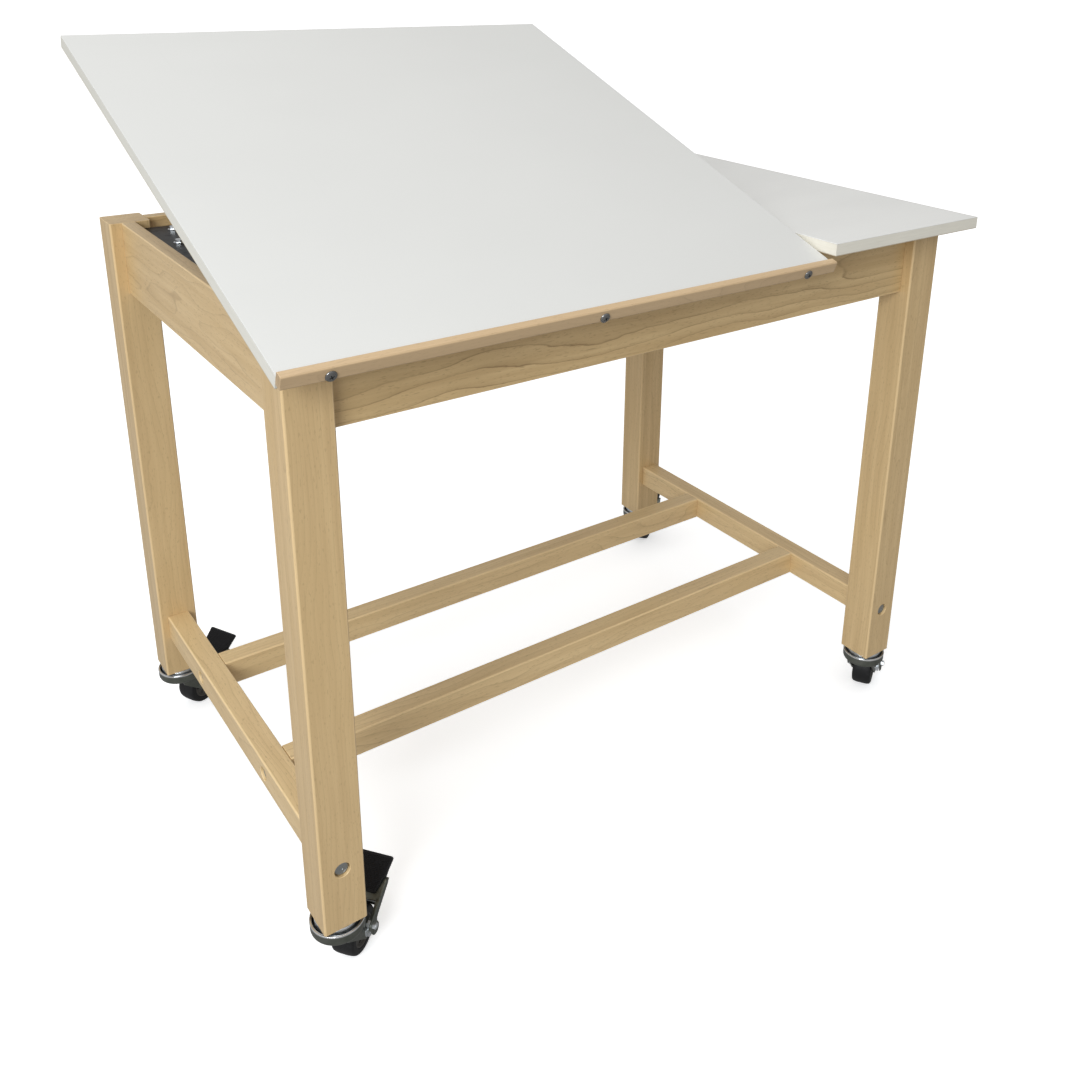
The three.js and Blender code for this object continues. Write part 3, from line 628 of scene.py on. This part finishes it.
def stretcher_bolt(node):
    """A flat, wide-headed bolt in dull zinc, a little below the face."""
    low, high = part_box(node)
    size = high - low
    axis = "x" if size.x > size.y else "y"
    index = "xyz".index(axis)
    middle = (low + high) / 2
    outward = 1 if middle[index] > 0 else -1
    length = size[index]
    profile = [(4, -4), (8.8, -4), (8.8, 0.9), (8.5, 1.3), (7.9, 1.5), (6.9, 1.5), (6.7, 1.3),
               (2.4, 1.3), (2.0, 0.9), (0, 0.9)]
    made = lathe([(0, -length), (4 * MM, -length), *sized(profile)], 48, axis)
    if outward < 0:
        bmesh.ops.scale(made, vec=[-1 if a == axis else 1 for a in "xyz"], verts=made.verts)
        bmesh.ops.reverse_faces(made, faces=made.faces)
    middle[index] = high[index] if outward > 0 else low[index]
    moved(made, *middle)
    piece(f"{node}_steel", made, BOLT_ZINC, "frame", node)


# ---- tops
SKIN = 0.9 * MM
# How far the cross of a ledge screw is turned, radians.
SCREW_TURN = 0.5
HINGE_PLACE = Matrix.Translation(HINGE_PIVOT) @ Matrix.Rotation(BOARD_TILT, 4, "X")


def level_box(node):
    """A tilting node's corners with the board laid level about the hinge, in metres."""
    back = HINGE_PLACE.inverted()
    return extent([back @ vertex.co for vertex in frame["nodes"][node].data.vertices])


def slab(name, body, low, high, face, edge, matrix=None, hinged=False):
    """A laminated panel: core with its edging, a white skin above and a backing sheet below."""
    inset = 0.15 * MM
    core = block((low.x, low.y, low.z + SKIN), (high.x, high.y, high.z - SKIN), 0.35 * MM, 2)
    if hinged:
        core = joined(core, [hinge_rebate(low.z)])
    piece(f"{name}_core", core, edge, body, name, matrix)
    skin = block((low.x, low.y, high.z - SKIN - 0.02 * MM), high, 0.4 * MM, 3)
    piece(f"{name}_skin", skin, face, body, None, matrix)
    backer = block((low.x + inset, low.y + inset, low.z),
                   (high.x - inset, high.y - inset, low.z + SKIN), 0.1 * MM, 1)
    if hinged:
        backer = joined(backer, [hinge_rebate(low.z)])
    piece(f"{name}_backer", backer, BACKER, body, None, matrix)


def hinge_rebate(underside):
    """The groove under the board that the hinge closes into."""
    low, high = level_box("hinge_board_leaf")
    return block((low.x - 2 * MM, -3.2 * MM, underside - MM), (high.x + 2 * MM, high.y + MM, 2.9 * MM))


def make_tops():
    low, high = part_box("fixed_top")
    slab("fixed_top", "frame", low, high, TOP_WHITE, TOP_EDGE)
    low, high = level_box("drawing_board")
    slab("drawing_board", "board", low, high, BOARD_SHADED_WHITE, BOARD_EDGE, HINGE_PLACE, hinged=True)

    low, high = level_box("pencil_ledge")
    made = block(low, high, 1.7 * MM, 4, "x")
    soften(made, 0.6 * MM, 2, above=60)
    ledge = piece("pencil_ledge_wood", made, LEDGE_WOOD_SHADED, "board", "pencil_ledge",
                  HINGE_PLACE)
    set_grain(ledge, "x", 3.1, "y")
    mark_edge_highlight(ledge, BOARD_TILT)
    for tag in ("left", "middle", "right"):
        ledge_screw(f"ledge_screw_{tag}", low.y)


def turned_to_front(made):
    """A screw drawn pointing up, given its part turn and laid to face the front."""
    for turn, axis in ((SCREW_TURN, "Z"), (math.radians(90), "X")):
        bmesh.ops.rotate(made, verts=made.verts, cent=(0, 0, 0), matrix=Matrix.Rotation(turn, 3, axis))
    return made


def ledge_screw(node, ledge_front):
    """A truss-head screw with a cross recess, standing on the ledge's front face."""
    low, high = level_box(node)
    middle = (low + high) / 2
    radius, rise = 6.5 * MM, 3.0 * MM
    dome = [(radius * math.cos(math.radians(a)), rise * (0.18 + 0.82 * math.sin(math.radians(a))))
            for a in range(0, 91, 10)]
    head = lathe([(0, 0), (radius * 0.97, 0), *dome[:-1], (0, rise)], 48)
    long, thin, floor = 2.7 * MM, 0.55 * MM, rise - 1.7 * MM
    slots = [block((-long, -thin, floor), (long, thin, rise + MM)),
             block((-thin, -long, floor), (thin, long, rise + MM)),
             lathe([(0, rise - 2.0 * MM), (1.5 * MM, rise + MM), (0, rise + MM)], 24)]
    made = joined(head, slots)
    moved(turned_to_front(made), middle.x, ledge_front, middle.z)
    shank = hole("y", middle, 2 * MM, ledge_front + 0.2 * MM, high.y)
    piece(f"{node}_zinc", merged(made, shank), SCREW_STEEL, "board", node, HINGE_PLACE)
    # Painted shadow: a near-black cross fills the lower part of the recess, so it reads dark under any
    # light.
    gap = 0.02 * MM
    long, thin = long - gap, thin - gap
    recess = merged(block((-long, -thin, floor + 0.5 * gap), (long, thin, floor + 0.90 * MM)),
                    block((-thin, -long, floor + gap), (thin, long, floor + 0.89 * MM)))
    moved(turned_to_front(recess), middle.x, ledge_front, middle.z)
    piece(f"{node}_recess", recess, SHADOW, "board", None, HINGE_PLACE)


make_frame()
for corner in CORNERS:
    stretcher_bolt(f"leg_bolt_{corner}")
    stretcher_bolt(f"stretcher_bolt_{corner}")
make_tops()


# ---- fasteners
def hexagon(radius, low, high, axis, chamfer_low=True):
    """A hexagon head or nut with its corners turned away at its ends, or at the high end only."""
    turns = [math.radians(60 * i + 30) for i in range(6)]
    made = prism([(radius * math.cos(t), radius * math.sin(t)) for t in turns], low, high, axis)
    cut = 0.16 * radius
    beyond = radius + 0.02 * MM
    outline = [(0, low), (radius - (cut if chamfer_low else 0), low), (beyond, low + 0.5 * cut),
               (beyond, high - 0.5 * cut), (radius - cut, high), (0, high)]
    return joined(made, [lathe(outline, 48, axis)], "INTERSECT")


def ring(inner, outer, low, high, axis="z", ease=0.25 * MM):
    """A washer with its outer edges broken."""
    return lathe([(inner, low), (outer - ease, low), (outer, low + ease), (outer, high - ease),
                  (outer - ease, high), (inner, high)], 48, axis)


def rod(radius, low, high, axis="z", ease=0.3 * MM, segments=32):
    """A round bar with chamfered ends."""
    return lathe([(0, low), (radius - ease, low), (radius, low + ease), (radius, high - ease),
                  (radius - ease, high), (0, high)], segments, axis)


# ---- piano hinge
KNUCKLES = 52
KNUCKLE = 2.35 * MM


def make_hinge():
    low, high = level_box("hinge_frame_leaf")
    pitch, gap = (high.x - low.x) / KNUCKLES, 0.1 * MM
    for node, body, first, matrix in (
            ("hinge_frame_leaf", "frame", 0, Matrix.Translation(HINGE_PIVOT)),
            ("hinge_board_leaf", "board", 1, HINGE_PLACE)):
        shapes = []
        if body == "frame":
            near, far, foot, top = 2.6 * MM, 14.6 * MM, -2.6 * MM, -1.3 * MM
            shapes.append(rod(1.1 * MM, low.x - 0.4 * MM, high.x + 0.4 * MM, "x", 0.2 * MM, 16))
        else:
            near, far, foot, top = 2.6 * MM, 22 * MM, 1.3 * MM, 2.6 * MM
        shapes.append(block((low.x, near, foot), (high.x, far, top), 0.25 * MM, 2))
        for i in range(first, KNUCKLES, 2):
            start, end = low.x + i * pitch + gap, low.x + (i + 1) * pitch - gap
            shapes.append(rod(KNUCKLE, start, end, "x", 0.25 * MM, 20))
            shapes.append(block((start, 0.6 * MM, foot), (end, near + MM, top)))
        piece(f"{node}_steel", merged(*shapes), ZINC, body, node, matrix)


# ---- tilt lift: rails, quadrants, clamp levers
CLAMP = {side: joint_at(f"clamp_{side}") for side in ("left", "right")}
# The quadrant's slot: where its clamp stud stands at the level board, degrees from +Y, and its size.
STUD_AT = -30
SLOT_R, SLOT_HALF = 85 * MM, 4.6 * MM


def lift_rail(side):
    """A pressed channel, open below, with its screws and the clamp's pivot hole."""
    node = f"lift_rail_{side}"
    low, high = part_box(node)
    wall, bend = 3 * MM, 4.5 * MM
    inner = bend - wall
    outline = [(low.x, low.z)]
    outline += arc((low.x + bend, high.z - bend), bend, 180, 90, 6)
    outline += arc((high.x - bend, high.z - bend), bend, 90, 0, 6)
    outline += [(high.x, low.z), (high.x - wall, low.z)]
    outline += arc((high.x - bend, high.z - bend), inner, 0, 90, 4)
    outline += arc((low.x + bend, high.z - bend), inner, 90, 180, 4)
    outline += [(low.x + wall, low.z)]
    made = prism(outline, low.y, high.y, "y", 0.4 * MM, 2)
    clamp = CLAMP[side]
    cuts = [hole("x", clamp, 4.1 * MM, clamp.x - 12 * MM, clamp.x + 12 * MM)]
    middle = (low + high) / 2
    reach = (high.y - low.y) / 2
    for share in (-0.55, 0.0, 0.55):
        slot_y = middle.y + share * reach
        cuts.append(slot_cutter(middle.x, slot_y, high.z, 16 * MM, 60 * MM))
    piece(f"{node}_sheet", joined(made, cuts), BLACK_ENAMEL, "frame", node)

    outer = 1 if side == "left" else -1
    edge = low.x if side == "left" else high.x
    for i, (share, across) in enumerate(((0.90, 43), (0.62, 27), (-0.62, 27), (-0.90, 43))):
        at = Vector((edge + outer * across * MM, middle.y + share * reach, high.z))
        screw_cap(f"lift_screw_{side}_{i}", at)


def slot_cutter(x, y, top, half_wide, half_long):
    """A long slot through a flat sheet, with round ends."""
    outline = arc((x, y + half_long - half_wide), half_wide, 0, 180, 14)
    outline += arc((x, y - half_long + half_wide), half_wide, 180, 360, 14)
    return prism(outline, top - 8 * MM, top + MM)


def screw_cap(name, at):
    """A flanged hexagon bolt standing on a flat sheet."""
    flange = ring(1 * MM, 7.5 * MM, 0, 1.1 * MM)
    head = hexagon(5.6 * MM, MM, 5.0 * MM, "z", chamfer_low=False)
    whole = moved(merged(flange, head), *at)
    piece(name, whole, ZINC, "frame")


def tilt_quadrant(side):
    """A slotted arc about the hinge axis under a flange that is screwed to the board."""
    node = f"tilt_quadrant_{side}"
    low, high = level_box(node)
    turn = 1 if side == "left" else -1
    face = low.x if side == "left" else high.x
    plate = 4 * MM
    flange_from, flange_to = 24 * MM, 112 * MM
    centre, band, margin = (0, 0), 12 * MM, 6
    lowest = STUD_AT - STEEPEST
    outline = [(flange_from, 0), on_circle(SLOT_R - band, lowest - margin)]
    outline += arc(centre, SLOT_R + band, lowest - margin, STUD_AT + margin, 24)
    outline += [(flange_to, -plate), (flange_to, 0)]
    start, end = sorted((face, face + turn * plate))
    made = prism(outline, start, end, "x", 0.5 * MM, 2)
    slot = arc(centre, SLOT_R + SLOT_HALF, lowest, STUD_AT, 20)
    slot += arc(on_circle(SLOT_R, STUD_AT), SLOT_HALF, STUD_AT, STUD_AT + 180, 10)[1:]
    slot += arc(centre, SLOT_R - SLOT_HALF, STUD_AT, lowest, 20)[1:]
    slot += arc(on_circle(SLOT_R, lowest), SLOT_HALF, lowest + 180, lowest + 360, 10)[1:-1]
    made = joined(made, [prism(slot, start - MM, end + MM, "x")])
    left, right = sorted((face, face + turn * 30 * MM))
    flange = block((left, flange_from, -plate), (right, flange_to, 0), 0.8 * MM, 2)
    piece(f"{node}_sheet", merged(made, flange), BLACK_ENAMEL, "board", node, HINGE_PLACE)
    for i, y in enumerate((38, 68, 98)):
        head = lathe([(0, -2.2 * MM), (3.2 * MM, -2.0 * MM), (4.4 * MM, -1.2 * MM), (4.8 * MM, 0),
                      (0, 0)], 32)
        moved(head, face + turn * 19 * MM, y * MM, -plate)
        piece(f"quadrant_screw_{side}_{i}", head, ZINC, "board", None, HINGE_PLACE)


def on_circle(radius, degrees):
    return (radius * math.cos(math.radians(degrees)), radius * math.sin(math.radians(degrees)))


def clamp_lever(side):
    """Stud, collar and a flat bar handle with a rounded, dipped end."""
    node = f"clamp_lever_{side}"
    low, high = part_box(node)
    clamp = CLAMP[side]
    turn = 1 if side == "left" else -1
    studs = low.x if side == "left" else high.x
    ends = high.x if side == "left" else low.x
    collar = ends - turn * 10 * MM
    head = hexagon(8 * MM, *sorted((studs, studs + turn * 4 * MM)), "x")
    stud = rod(3.8 * MM, *sorted((studs + turn * MM, ends - turn * MM)), "x")
    hub = lathe([(2 * MM, 0), (8.6 * MM, 0), (9 * MM, 0.4 * MM), (9 * MM, 7.6 * MM),
                 (8.2 * MM, 9.2 * MM), (6.4 * MM, 10 * MM), (2 * MM, 10 * MM)], 48, "x")
    bmesh.ops.scale(hub, vec=(turn, 1, 1), verts=hub.verts)
    moved(hub, collar)
    half = 5 * MM
    reach = high.y - clamp.y
    outline = [(0, -half), *arc((reach - half, 0), half, -90, 90, 12), (0, half)]
    bar = prism(outline, *sorted((collar + turn * MM, collar + turn * 8 * MM)), "x", 1.2 * MM, 3)
    for made in (head, stud, hub, bar):
        moved(made, 0, clamp.y, clamp.z)
    piece(f"{node}_zinc", merged(head, stud, hub, bar), ZINC, f"clamp_lever_{side}",
          node)
    grip_outline = [(reach * 0.42, -half - 0.6 * MM),
                    *arc((reach - half, 0), half + 0.6 * MM, -90, 90, 12),
                    (reach * 0.42, half + 0.6 * MM)]
    grip = prism(grip_outline, *sorted((collar + turn * 0.4 * MM, collar + turn * 8.6 * MM)), "x",
                 1.6 * MM, 3)
    moved(grip, 0, clamp.y, clamp.z)
    piece(f"clamp_grip_{side}", grip, PAD, f"clamp_lever_{side}")


make_hinge()
for side in ("left", "right"):
    lift_rail(side)
    tilt_quadrant(side)
    clamp_lever(side)


# ---- casters: drawn once about the swivel axis, local +X trailing, floor at z = 0
WHEEL_R, TRAIL = 31.75 * MM, 34 * MM
PIVOT = Vector((35 * MM, 0, 43 * MM))
PEDAL_SLOPE = math.radians(35)
PLATE_IN, PLATE_OUT = 17.5 * MM, 20.5 * MM
# The pedal's cheeks, and half the pad's width at distances from its pivot, millimetres.
CHEEK_IN, CHEEK_OUT = 26.6, 28.8
PAD_HALVES = ((35, 17.5), (54, 23.2), (58, 25.2), (80, 27.4))


def swivel_stem():
    """Stem, top plate with its pressed raceway, and the king pin, all one turned shape."""
    profile = [(0, 64), (8.4, 64), (9, 64.6), (9, 66.6), (8.6, 67), (6, 67), (6, 88.4), (20.4, 88.4),
               (21, 87.8), (21, 76.8), (21.8, 76), (26.1, 76), (27.7, 76.8), (28.5, 78.4),
               (28.5, 83.2), (27.7, 84.4), (27.7, 86.2), (28.5, 87.2), (28.5, 91.3), (28.1, 91.7),
               (7.5, 91.7), (7.5, 136.5), (6.7, 137.7), (0, 137.7)]
    return lathe(sized(profile), 72)


def fork():
    """The dished crown and a leg pressed down each side of the wheel."""
    profile = [(6.3, 70), (28.2, 70)]
    profile += arc((28.2, 75.8), 5.8, -90, 0, 10)[1:]
    profile += [(34, 84.4), (31.2, 84.4), (31.2, 78.0)]
    profile += arc((28.7, 78.0), 2.5, 0, -90, 5)[1:]
    profile += [(6.3, 75.5)]
    crown = lathe(sized(profile), 72)
    outline = [(-18, 72.2), (-13.6, 64), (-12, 60)]
    outline += arc((34, 31.75), 9.6, -150, -4, 12)
    outline += arc((35, 43), 8.2, 0, 40, 5)
    outline += [(31.5, 58), (28.6, 66), (27.4, 72.2)]
    legs = [prism(sized(outline), PLATE_IN, PLATE_OUT, "y", 0.6 * MM, 2),
            prism(sized(outline), -PLATE_OUT, -PLATE_IN, "y", 0.6 * MM, 2)]
    lower_lock = ring(6.3 * MM, 14 * MM, 67.5 * MM, 70.4 * MM, ease=0.8 * MM)
    return merged(crown, *legs, lower_lock)


def crown_rim():
    """The bright rolled lip round the crown's mouth."""
    profile = [(31.2, 84.3), (34.0, 84.3), (34.3, 84.7), (34.3, 85.9)]
    profile += arc((33.5, 85.9), 0.8, 0, 90, 4)[1:]
    profile += [(31.9, 86.7), (31.3, 86.3)]
    return lathe(sized(profile), 72)


def tyre():
    """A moulded tread on the wheel: crowned, with a parting line and rounded shoulders."""
    side = [(21.2, 15.2), (22.0, 16.0), (26.4, 16.0)]
    side += arc((26.4, 11.2), 4.8, 90, 30, 6)[1:]
    side += [(31.15, 11.2), (31.55, 8.4), (31.75, 5.0), (31.75, 0.4), (31.5, 0.0)]
    profile = [(r, -z) for r, z in side] + [(r, z) for r, z in reversed(side[:-1])]
    made = lathe(sized(profile), 80, "y")
    return moved(made, TRAIL, 0, WHEEL_R)


def hub():
    """The wheel's core: a bead ring, a dished web with lightening pockets and a bearing boss."""
    side = [(4.4, 17), (8.4, 17), (9.0, 16.4), (9.4, 14.2), (10.6, 13.0), (17.6, 12.8), (18.4, 13.4),
            (18.9, 14.8), (19.6, 15.4), (20.7, 15.4), (21.2, 15.0)]
    profile = [(r, z) for r, z in side] + [(r, -z) for r, z in reversed(side)]
    core = lathe(sized(profile), 72, "y")
    pockets = []
    for i in range(6):
        turn = math.radians(60 * i)
        for low, high in ((10.6, 16), (-16, -10.6)):
            pocket = rod(2.6 * MM, low * MM, high * MM, "y")
            pockets.append(moved(pocket, 14 * MM * math.cos(turn), 0, 14 * MM * math.sin(turn)))
    made = joined(core, pockets)
    return moved(made, TRAIL, 0, WHEEL_R)


def either_side(near, far, make):
    """What make(low, high) gives on both sides of the wheel, near and far being in millimetres."""
    return [make(*sorted((side * near * MM, side * far * MM))) for side in (-1, 1)]


def axle():
    """Bolt head and washer on one side of the fork, lock nut on the other."""
    shapes = [rod(4 * MM, -21.5 * MM, 21.5 * MM, "y")]
    shapes += either_side(20.4, 21.4, lambda low, high: ring(4.1 * MM, 6.5 * MM, low, high, "y"))
    shapes += either_side(21.3, 25.4, lambda low, high: hexagon(5.8 * MM, low, high, "y"))
    shapes += either_side(25.0, 26.0, lambda low, high: rod(2.8 * MM, low, high, "y"))
    return moved(merged(*shapes), TRAIL, 0, WHEEL_R)


def pedal_frame():
    """Two pressed cheeks with a round boss at the heel, the web under the pad and the shoe bar that
    stops the tyre on its tongue."""
    outline = arc((0, 0), 8, 90, 180, 8)
    outline += arc((-1.2, -13), 8.3, 180, 345, 16)
    outline += [(7.7, -8.6), (9.4, -5.8), (12.5, -4.6), (20, -3.9)]
    outline += arc((51, 1), 4.5, -90, 60, 10)
    outline += [(30, 6.4), (8, 7.9)]
    shapes = either_side(CHEEK_IN, CHEEK_OUT,
                         lambda low, high: prism(sized(outline), low, high, "y", 0.55 * MM, 2))
    half, inner, under, web_from = CHEEK_OUT, 21.2, -2.2, 26.9
    flanges = [((4, -half, under), (31, -inner, 0)), ((4, inner, under), (31, half, 0))]
    web = [((web_from, -half, under), (57.5, half, 0)), ((56, -25, under), (79, 25, 0))]
    tongue = [((web_from, -20, -22), (30.4, 20, -1))]
    for low, high in flanges + web + tongue:
        shapes.append(block(Vector(low) * MM, Vector(high) * MM, 0.5 * MM, 2))
    shapes.append(moved(rod(3 * MM, -20.2 * MM, 20.2 * MM, "y", 0.6 * MM), 27.6 * MM, 0, -23.2 * MM))
    bosses = either_side(half - 0.3, half + 0.7,
                         lambda low, high: rod(6.9 * MM, low, high, "y", 0.5 * MM))
    shapes += [moved(boss, -1.2 * MM, 0, -13 * MM) for boss in bosses]
    return merged(*shapes)


def pedal_pivot():
    """The pedal's pivot pins with a nut each side of the cheeks."""
    shapes = either_side(17.5, 34.0, lambda low, high: rod(3 * MM, low, high, "y"))
    for near, far in ((20.9, 26.7), (28.7, 33.2)):
        shapes += either_side(near, far, lambda low, high: hexagon(4.6 * MM, low, high, "y"))
    return merged(*shapes)


def pad_half(u):
    """Half the pad's width at a distance from the pivot, millimetres."""
    for (near, narrow), (far, wide) in zip(PAD_HALVES, PAD_HALVES[1:]):
        if u <= far:
            return narrow + (wide - narrow) * (u - near) / (far - near)
    return PAD_HALVES[-1][1]


def pedal_pad():
    """The tread pad: narrow by the pivot and wide at the toe, with cross ribs and a raised lip."""
    start, end = 35, 82
    edge = [(start, pad_half(start) - 1.5), (start + 1.5, pad_half(start + 1.5))]
    edge += [(u, pad_half(u)) for u in (54, 58)]
    edge += arc((end - 2.6, pad_half(end) - 2.6), 2.6, 90, 0, 5)
    outline = [(u, -y) for u, y in edge] + [(u, y) for u, y in reversed(edge)]
    shapes = [prism(sized(outline), 0.3 * MM, 4.2 * MM, "z", 0.8 * MM, 3)]
    count = 20
    for i in range(count):
        u = start + 3 + i * (end - start - 6) / (count - 1)
        half = pad_half(u) - 2.2
        shapes.append(block(Vector((u - 0.7, -half, 3.9)) * MM, Vector((u + 0.7, half, 5.2)) * MM,
                            0.35 * MM, 1))
    return merged(*shapes)


def make_caster(corner):
    """One caster at its corner: each piece's name, shape, material, body, slot, CAD node and place."""
    pivot = joint_at(f"swivel_{corner}")
    turn = math.radians(CASTER_TURN[corner])
    place = Matrix.Translation((pivot.x, pivot.y, 0)) @ Matrix.Rotation(turn, 4, "Z")
    tread = place @ Matrix.Translation(PIVOT) @ Matrix.Rotation(-PEDAL_SLOPE, 4, "Y")
    for name, make, material, body, slot, node, matrix in (
            ("stem_zinc", swivel_stem, ZINC, "frame", "zinc_steel", "swivel_stem", place),
            ("fork_steel", fork, GUNMETAL, "fork", "gunmetal_steel", "caster_fork", place),
            ("crown_rim", crown_rim, STEEL, "fork", "gunmetal_steel", None, place),
            ("axle_zinc", axle, ZINC, "fork", "zinc_steel", "wheel_axle", place),
            ("tyre_rubber", tyre, TYRE, "wheel", "black_rubber", "caster_wheel", place),
            ("wheel_hub", hub, HUB, "wheel", "black_rubber", None, place),
            ("pedal_steel", pedal_frame, GUNMETAL, "pedal", "gunmetal_steel", "brake_pedal", tread),
            ("pedal_pivot", pedal_pivot, ZINC, "pedal", "zinc_steel", None, tread),
            ("pad_plastic", pedal_pad, PAD, "pedal", "black_plastic", "pedal_pad", tread)):
        own_body = body if body == "frame" else f"{body}_{corner}"
        own_node = f"{node}_{corner}" if node else None
        piece(f"{name}_{corner}", make(), material, own_body, own_node, matrix)


for corner in CORNERS:
    make_caster(corner)


# ---- studio
FLOOR_GLOW = (0.50, 0.75)
# The world's brightness from straight down (0) to straight up (1).
SKY = ((0.02, 0.34), (0.47, 0.39), (0.54, 0.49), (0.98, 0.62))
# How much dimmer the world is towards +X, +Y and +Z than the opposite way.
SIDE_FALL = (0.30, 0.08, 0.0)
# Each softbox's name, place, size, power and colour, and the height at which both are aimed.
SOFTBOXES = (("key", (-2.7, -2.1, 2.05), 1.6, 70, (0.96, 1.0, 1.04)),
             ("top", (-0.6, -0.1, 3.6), 2.4, 32, (1, 1, 1)))
AIM_HEIGHT = 0.6
CAMERA_AT = (-0.9038, -1.3397, 1.2165)
# Degrees: which way the camera faces from +Y towards +X, how far it looks down, and its roll.
HEADING, LOOK_DOWN, ROLL = 36.79, 19.51, 1.143
LENS = 37.01
SHIFT_X, SHIFT_Y = -0.051, -0.18


def glow(name, near, far):
    """A plain white studio material that shines a little itself, more so away from the object."""
    look = Look(name, IOR=1.3, Specular_IOR_Level=0.1, Emission_Color=(1, 1, 1, 1))
    place = look.place()
    cloud = look.noise(place, 1.5, 2.0, 0.5)
    shade = look.ramp(cloud, (0.0, (0.90, 0.90, 0.90)), (1.0, (0.93, 0.93, 0.93)))
    distance = look.vector("LENGTH", place)
    feed(look.tree, look.shader.inputs["Emission Strength"], look.span(distance, 1.2, 5.0, near, far))
    look.material.cycles.emission_sampling = "NONE"
    return look.finish(shade, look.span(cloud, 0, 1, 0.75, 0.85))


def make_floor():
    """A pale seamless floor and a far white backdrop, neither of which lights the object."""
    made = bmesh.new()
    bmesh.ops.create_grid(made, x_segments=8, y_segments=8, size=100)
    floor = to_object("studio_floor", made, glow("studio_floor", *FLOOR_GLOW))
    dome = bmesh.new()
    bmesh.ops.create_uvsphere(dome, u_segments=48, v_segments=24, radius=90)
    backdrop = to_object("studio_backdrop", dome, glow("studio_backdrop", 1.2, 1.2))
    backdrop.visible_shadow = False
    for thing in (floor, backdrop):
        thing.visible_diffuse = False
        thing.visible_glossy = False


def make_light(name, place, size, power, colour, target):
    """A square softbox aimed at a point."""
    data = bpy.data.lights.new(name, "AREA")
    data.size = size
    data.energy = power
    data.color = colour
    lamp = linked(name, data)
    lamp.location = place
    lamp.rotation_euler = (Vector(target) - Vector(place)).to_track_quat("-Z", "Y").to_euler()


def make_world():
    """Soft light all round: dim from below and bright overhead."""
    world = bpy.data.worlds.new("studio")
    world.use_nodes = True
    tree = world.node_tree
    place = add_node(tree, "TexCoord").outputs["Generated"]
    height = add_node(tree, "SeparateXYZ", place).outputs["Z"]
    level = add_node(tree, "MapRange", height, -1, 1, 0, 1).outputs[0]
    sky = add_node(tree, "ValToRGB", level)
    for place_at, value in SKY:
        stop = sky.color_ramp.elements.new(place_at)
        stop.color = (value, value, value, 1)
    for end in (0, -1):
        sky.color_ramp.elements[end].color = (SKY[end][1],) * 3 + (1,)
    aside = add_node(tree, "VectorMath", place, SIDE_FALL, operation="DOT_PRODUCT").outputs["Value"]
    strength = add_node(tree, "Math", 1.0, aside, operation="SUBTRACT").outputs[0]
    for socket, value in zip(tree.nodes["Background"].inputs, (sky.outputs[0], strength)):
        feed(tree, socket, value)
    bpy.context.scene.world = world


def make_studio():
    make_floor()
    make_world()
    middle = (CAD_BOX[0] + CAD_BOX[1]) / 2
    for softbox in SOFTBOXES:
        make_light(*softbox, (middle.x, middle.y, AIM_HEIGHT))
    scene = bpy.context.scene
    scene.view_settings.view_transform = "Standard"
    scene.view_settings.look = "None"


def make_camera():
    data = bpy.data.cameras.new("front_left_view")
    data.sensor_width = 36
    data.lens = LENS
    data.shift_x = SHIFT_X
    data.shift_y = SHIFT_Y
    data.clip_start, data.clip_end = 0.05, 400
    camera = linked("front_left_view", data)
    camera.matrix_world = (Matrix.Translation(CAMERA_AT)
                           @ Matrix.Rotation(math.radians(-HEADING), 4, "Z")
                           @ Matrix.Rotation(math.radians(90 - LOOK_DOWN), 4, "X")
                           @ Matrix.Rotation(math.radians(ROLL), 4, "Z"))
    bpy.context.scene.camera = camera


make_studio()
make_camera()
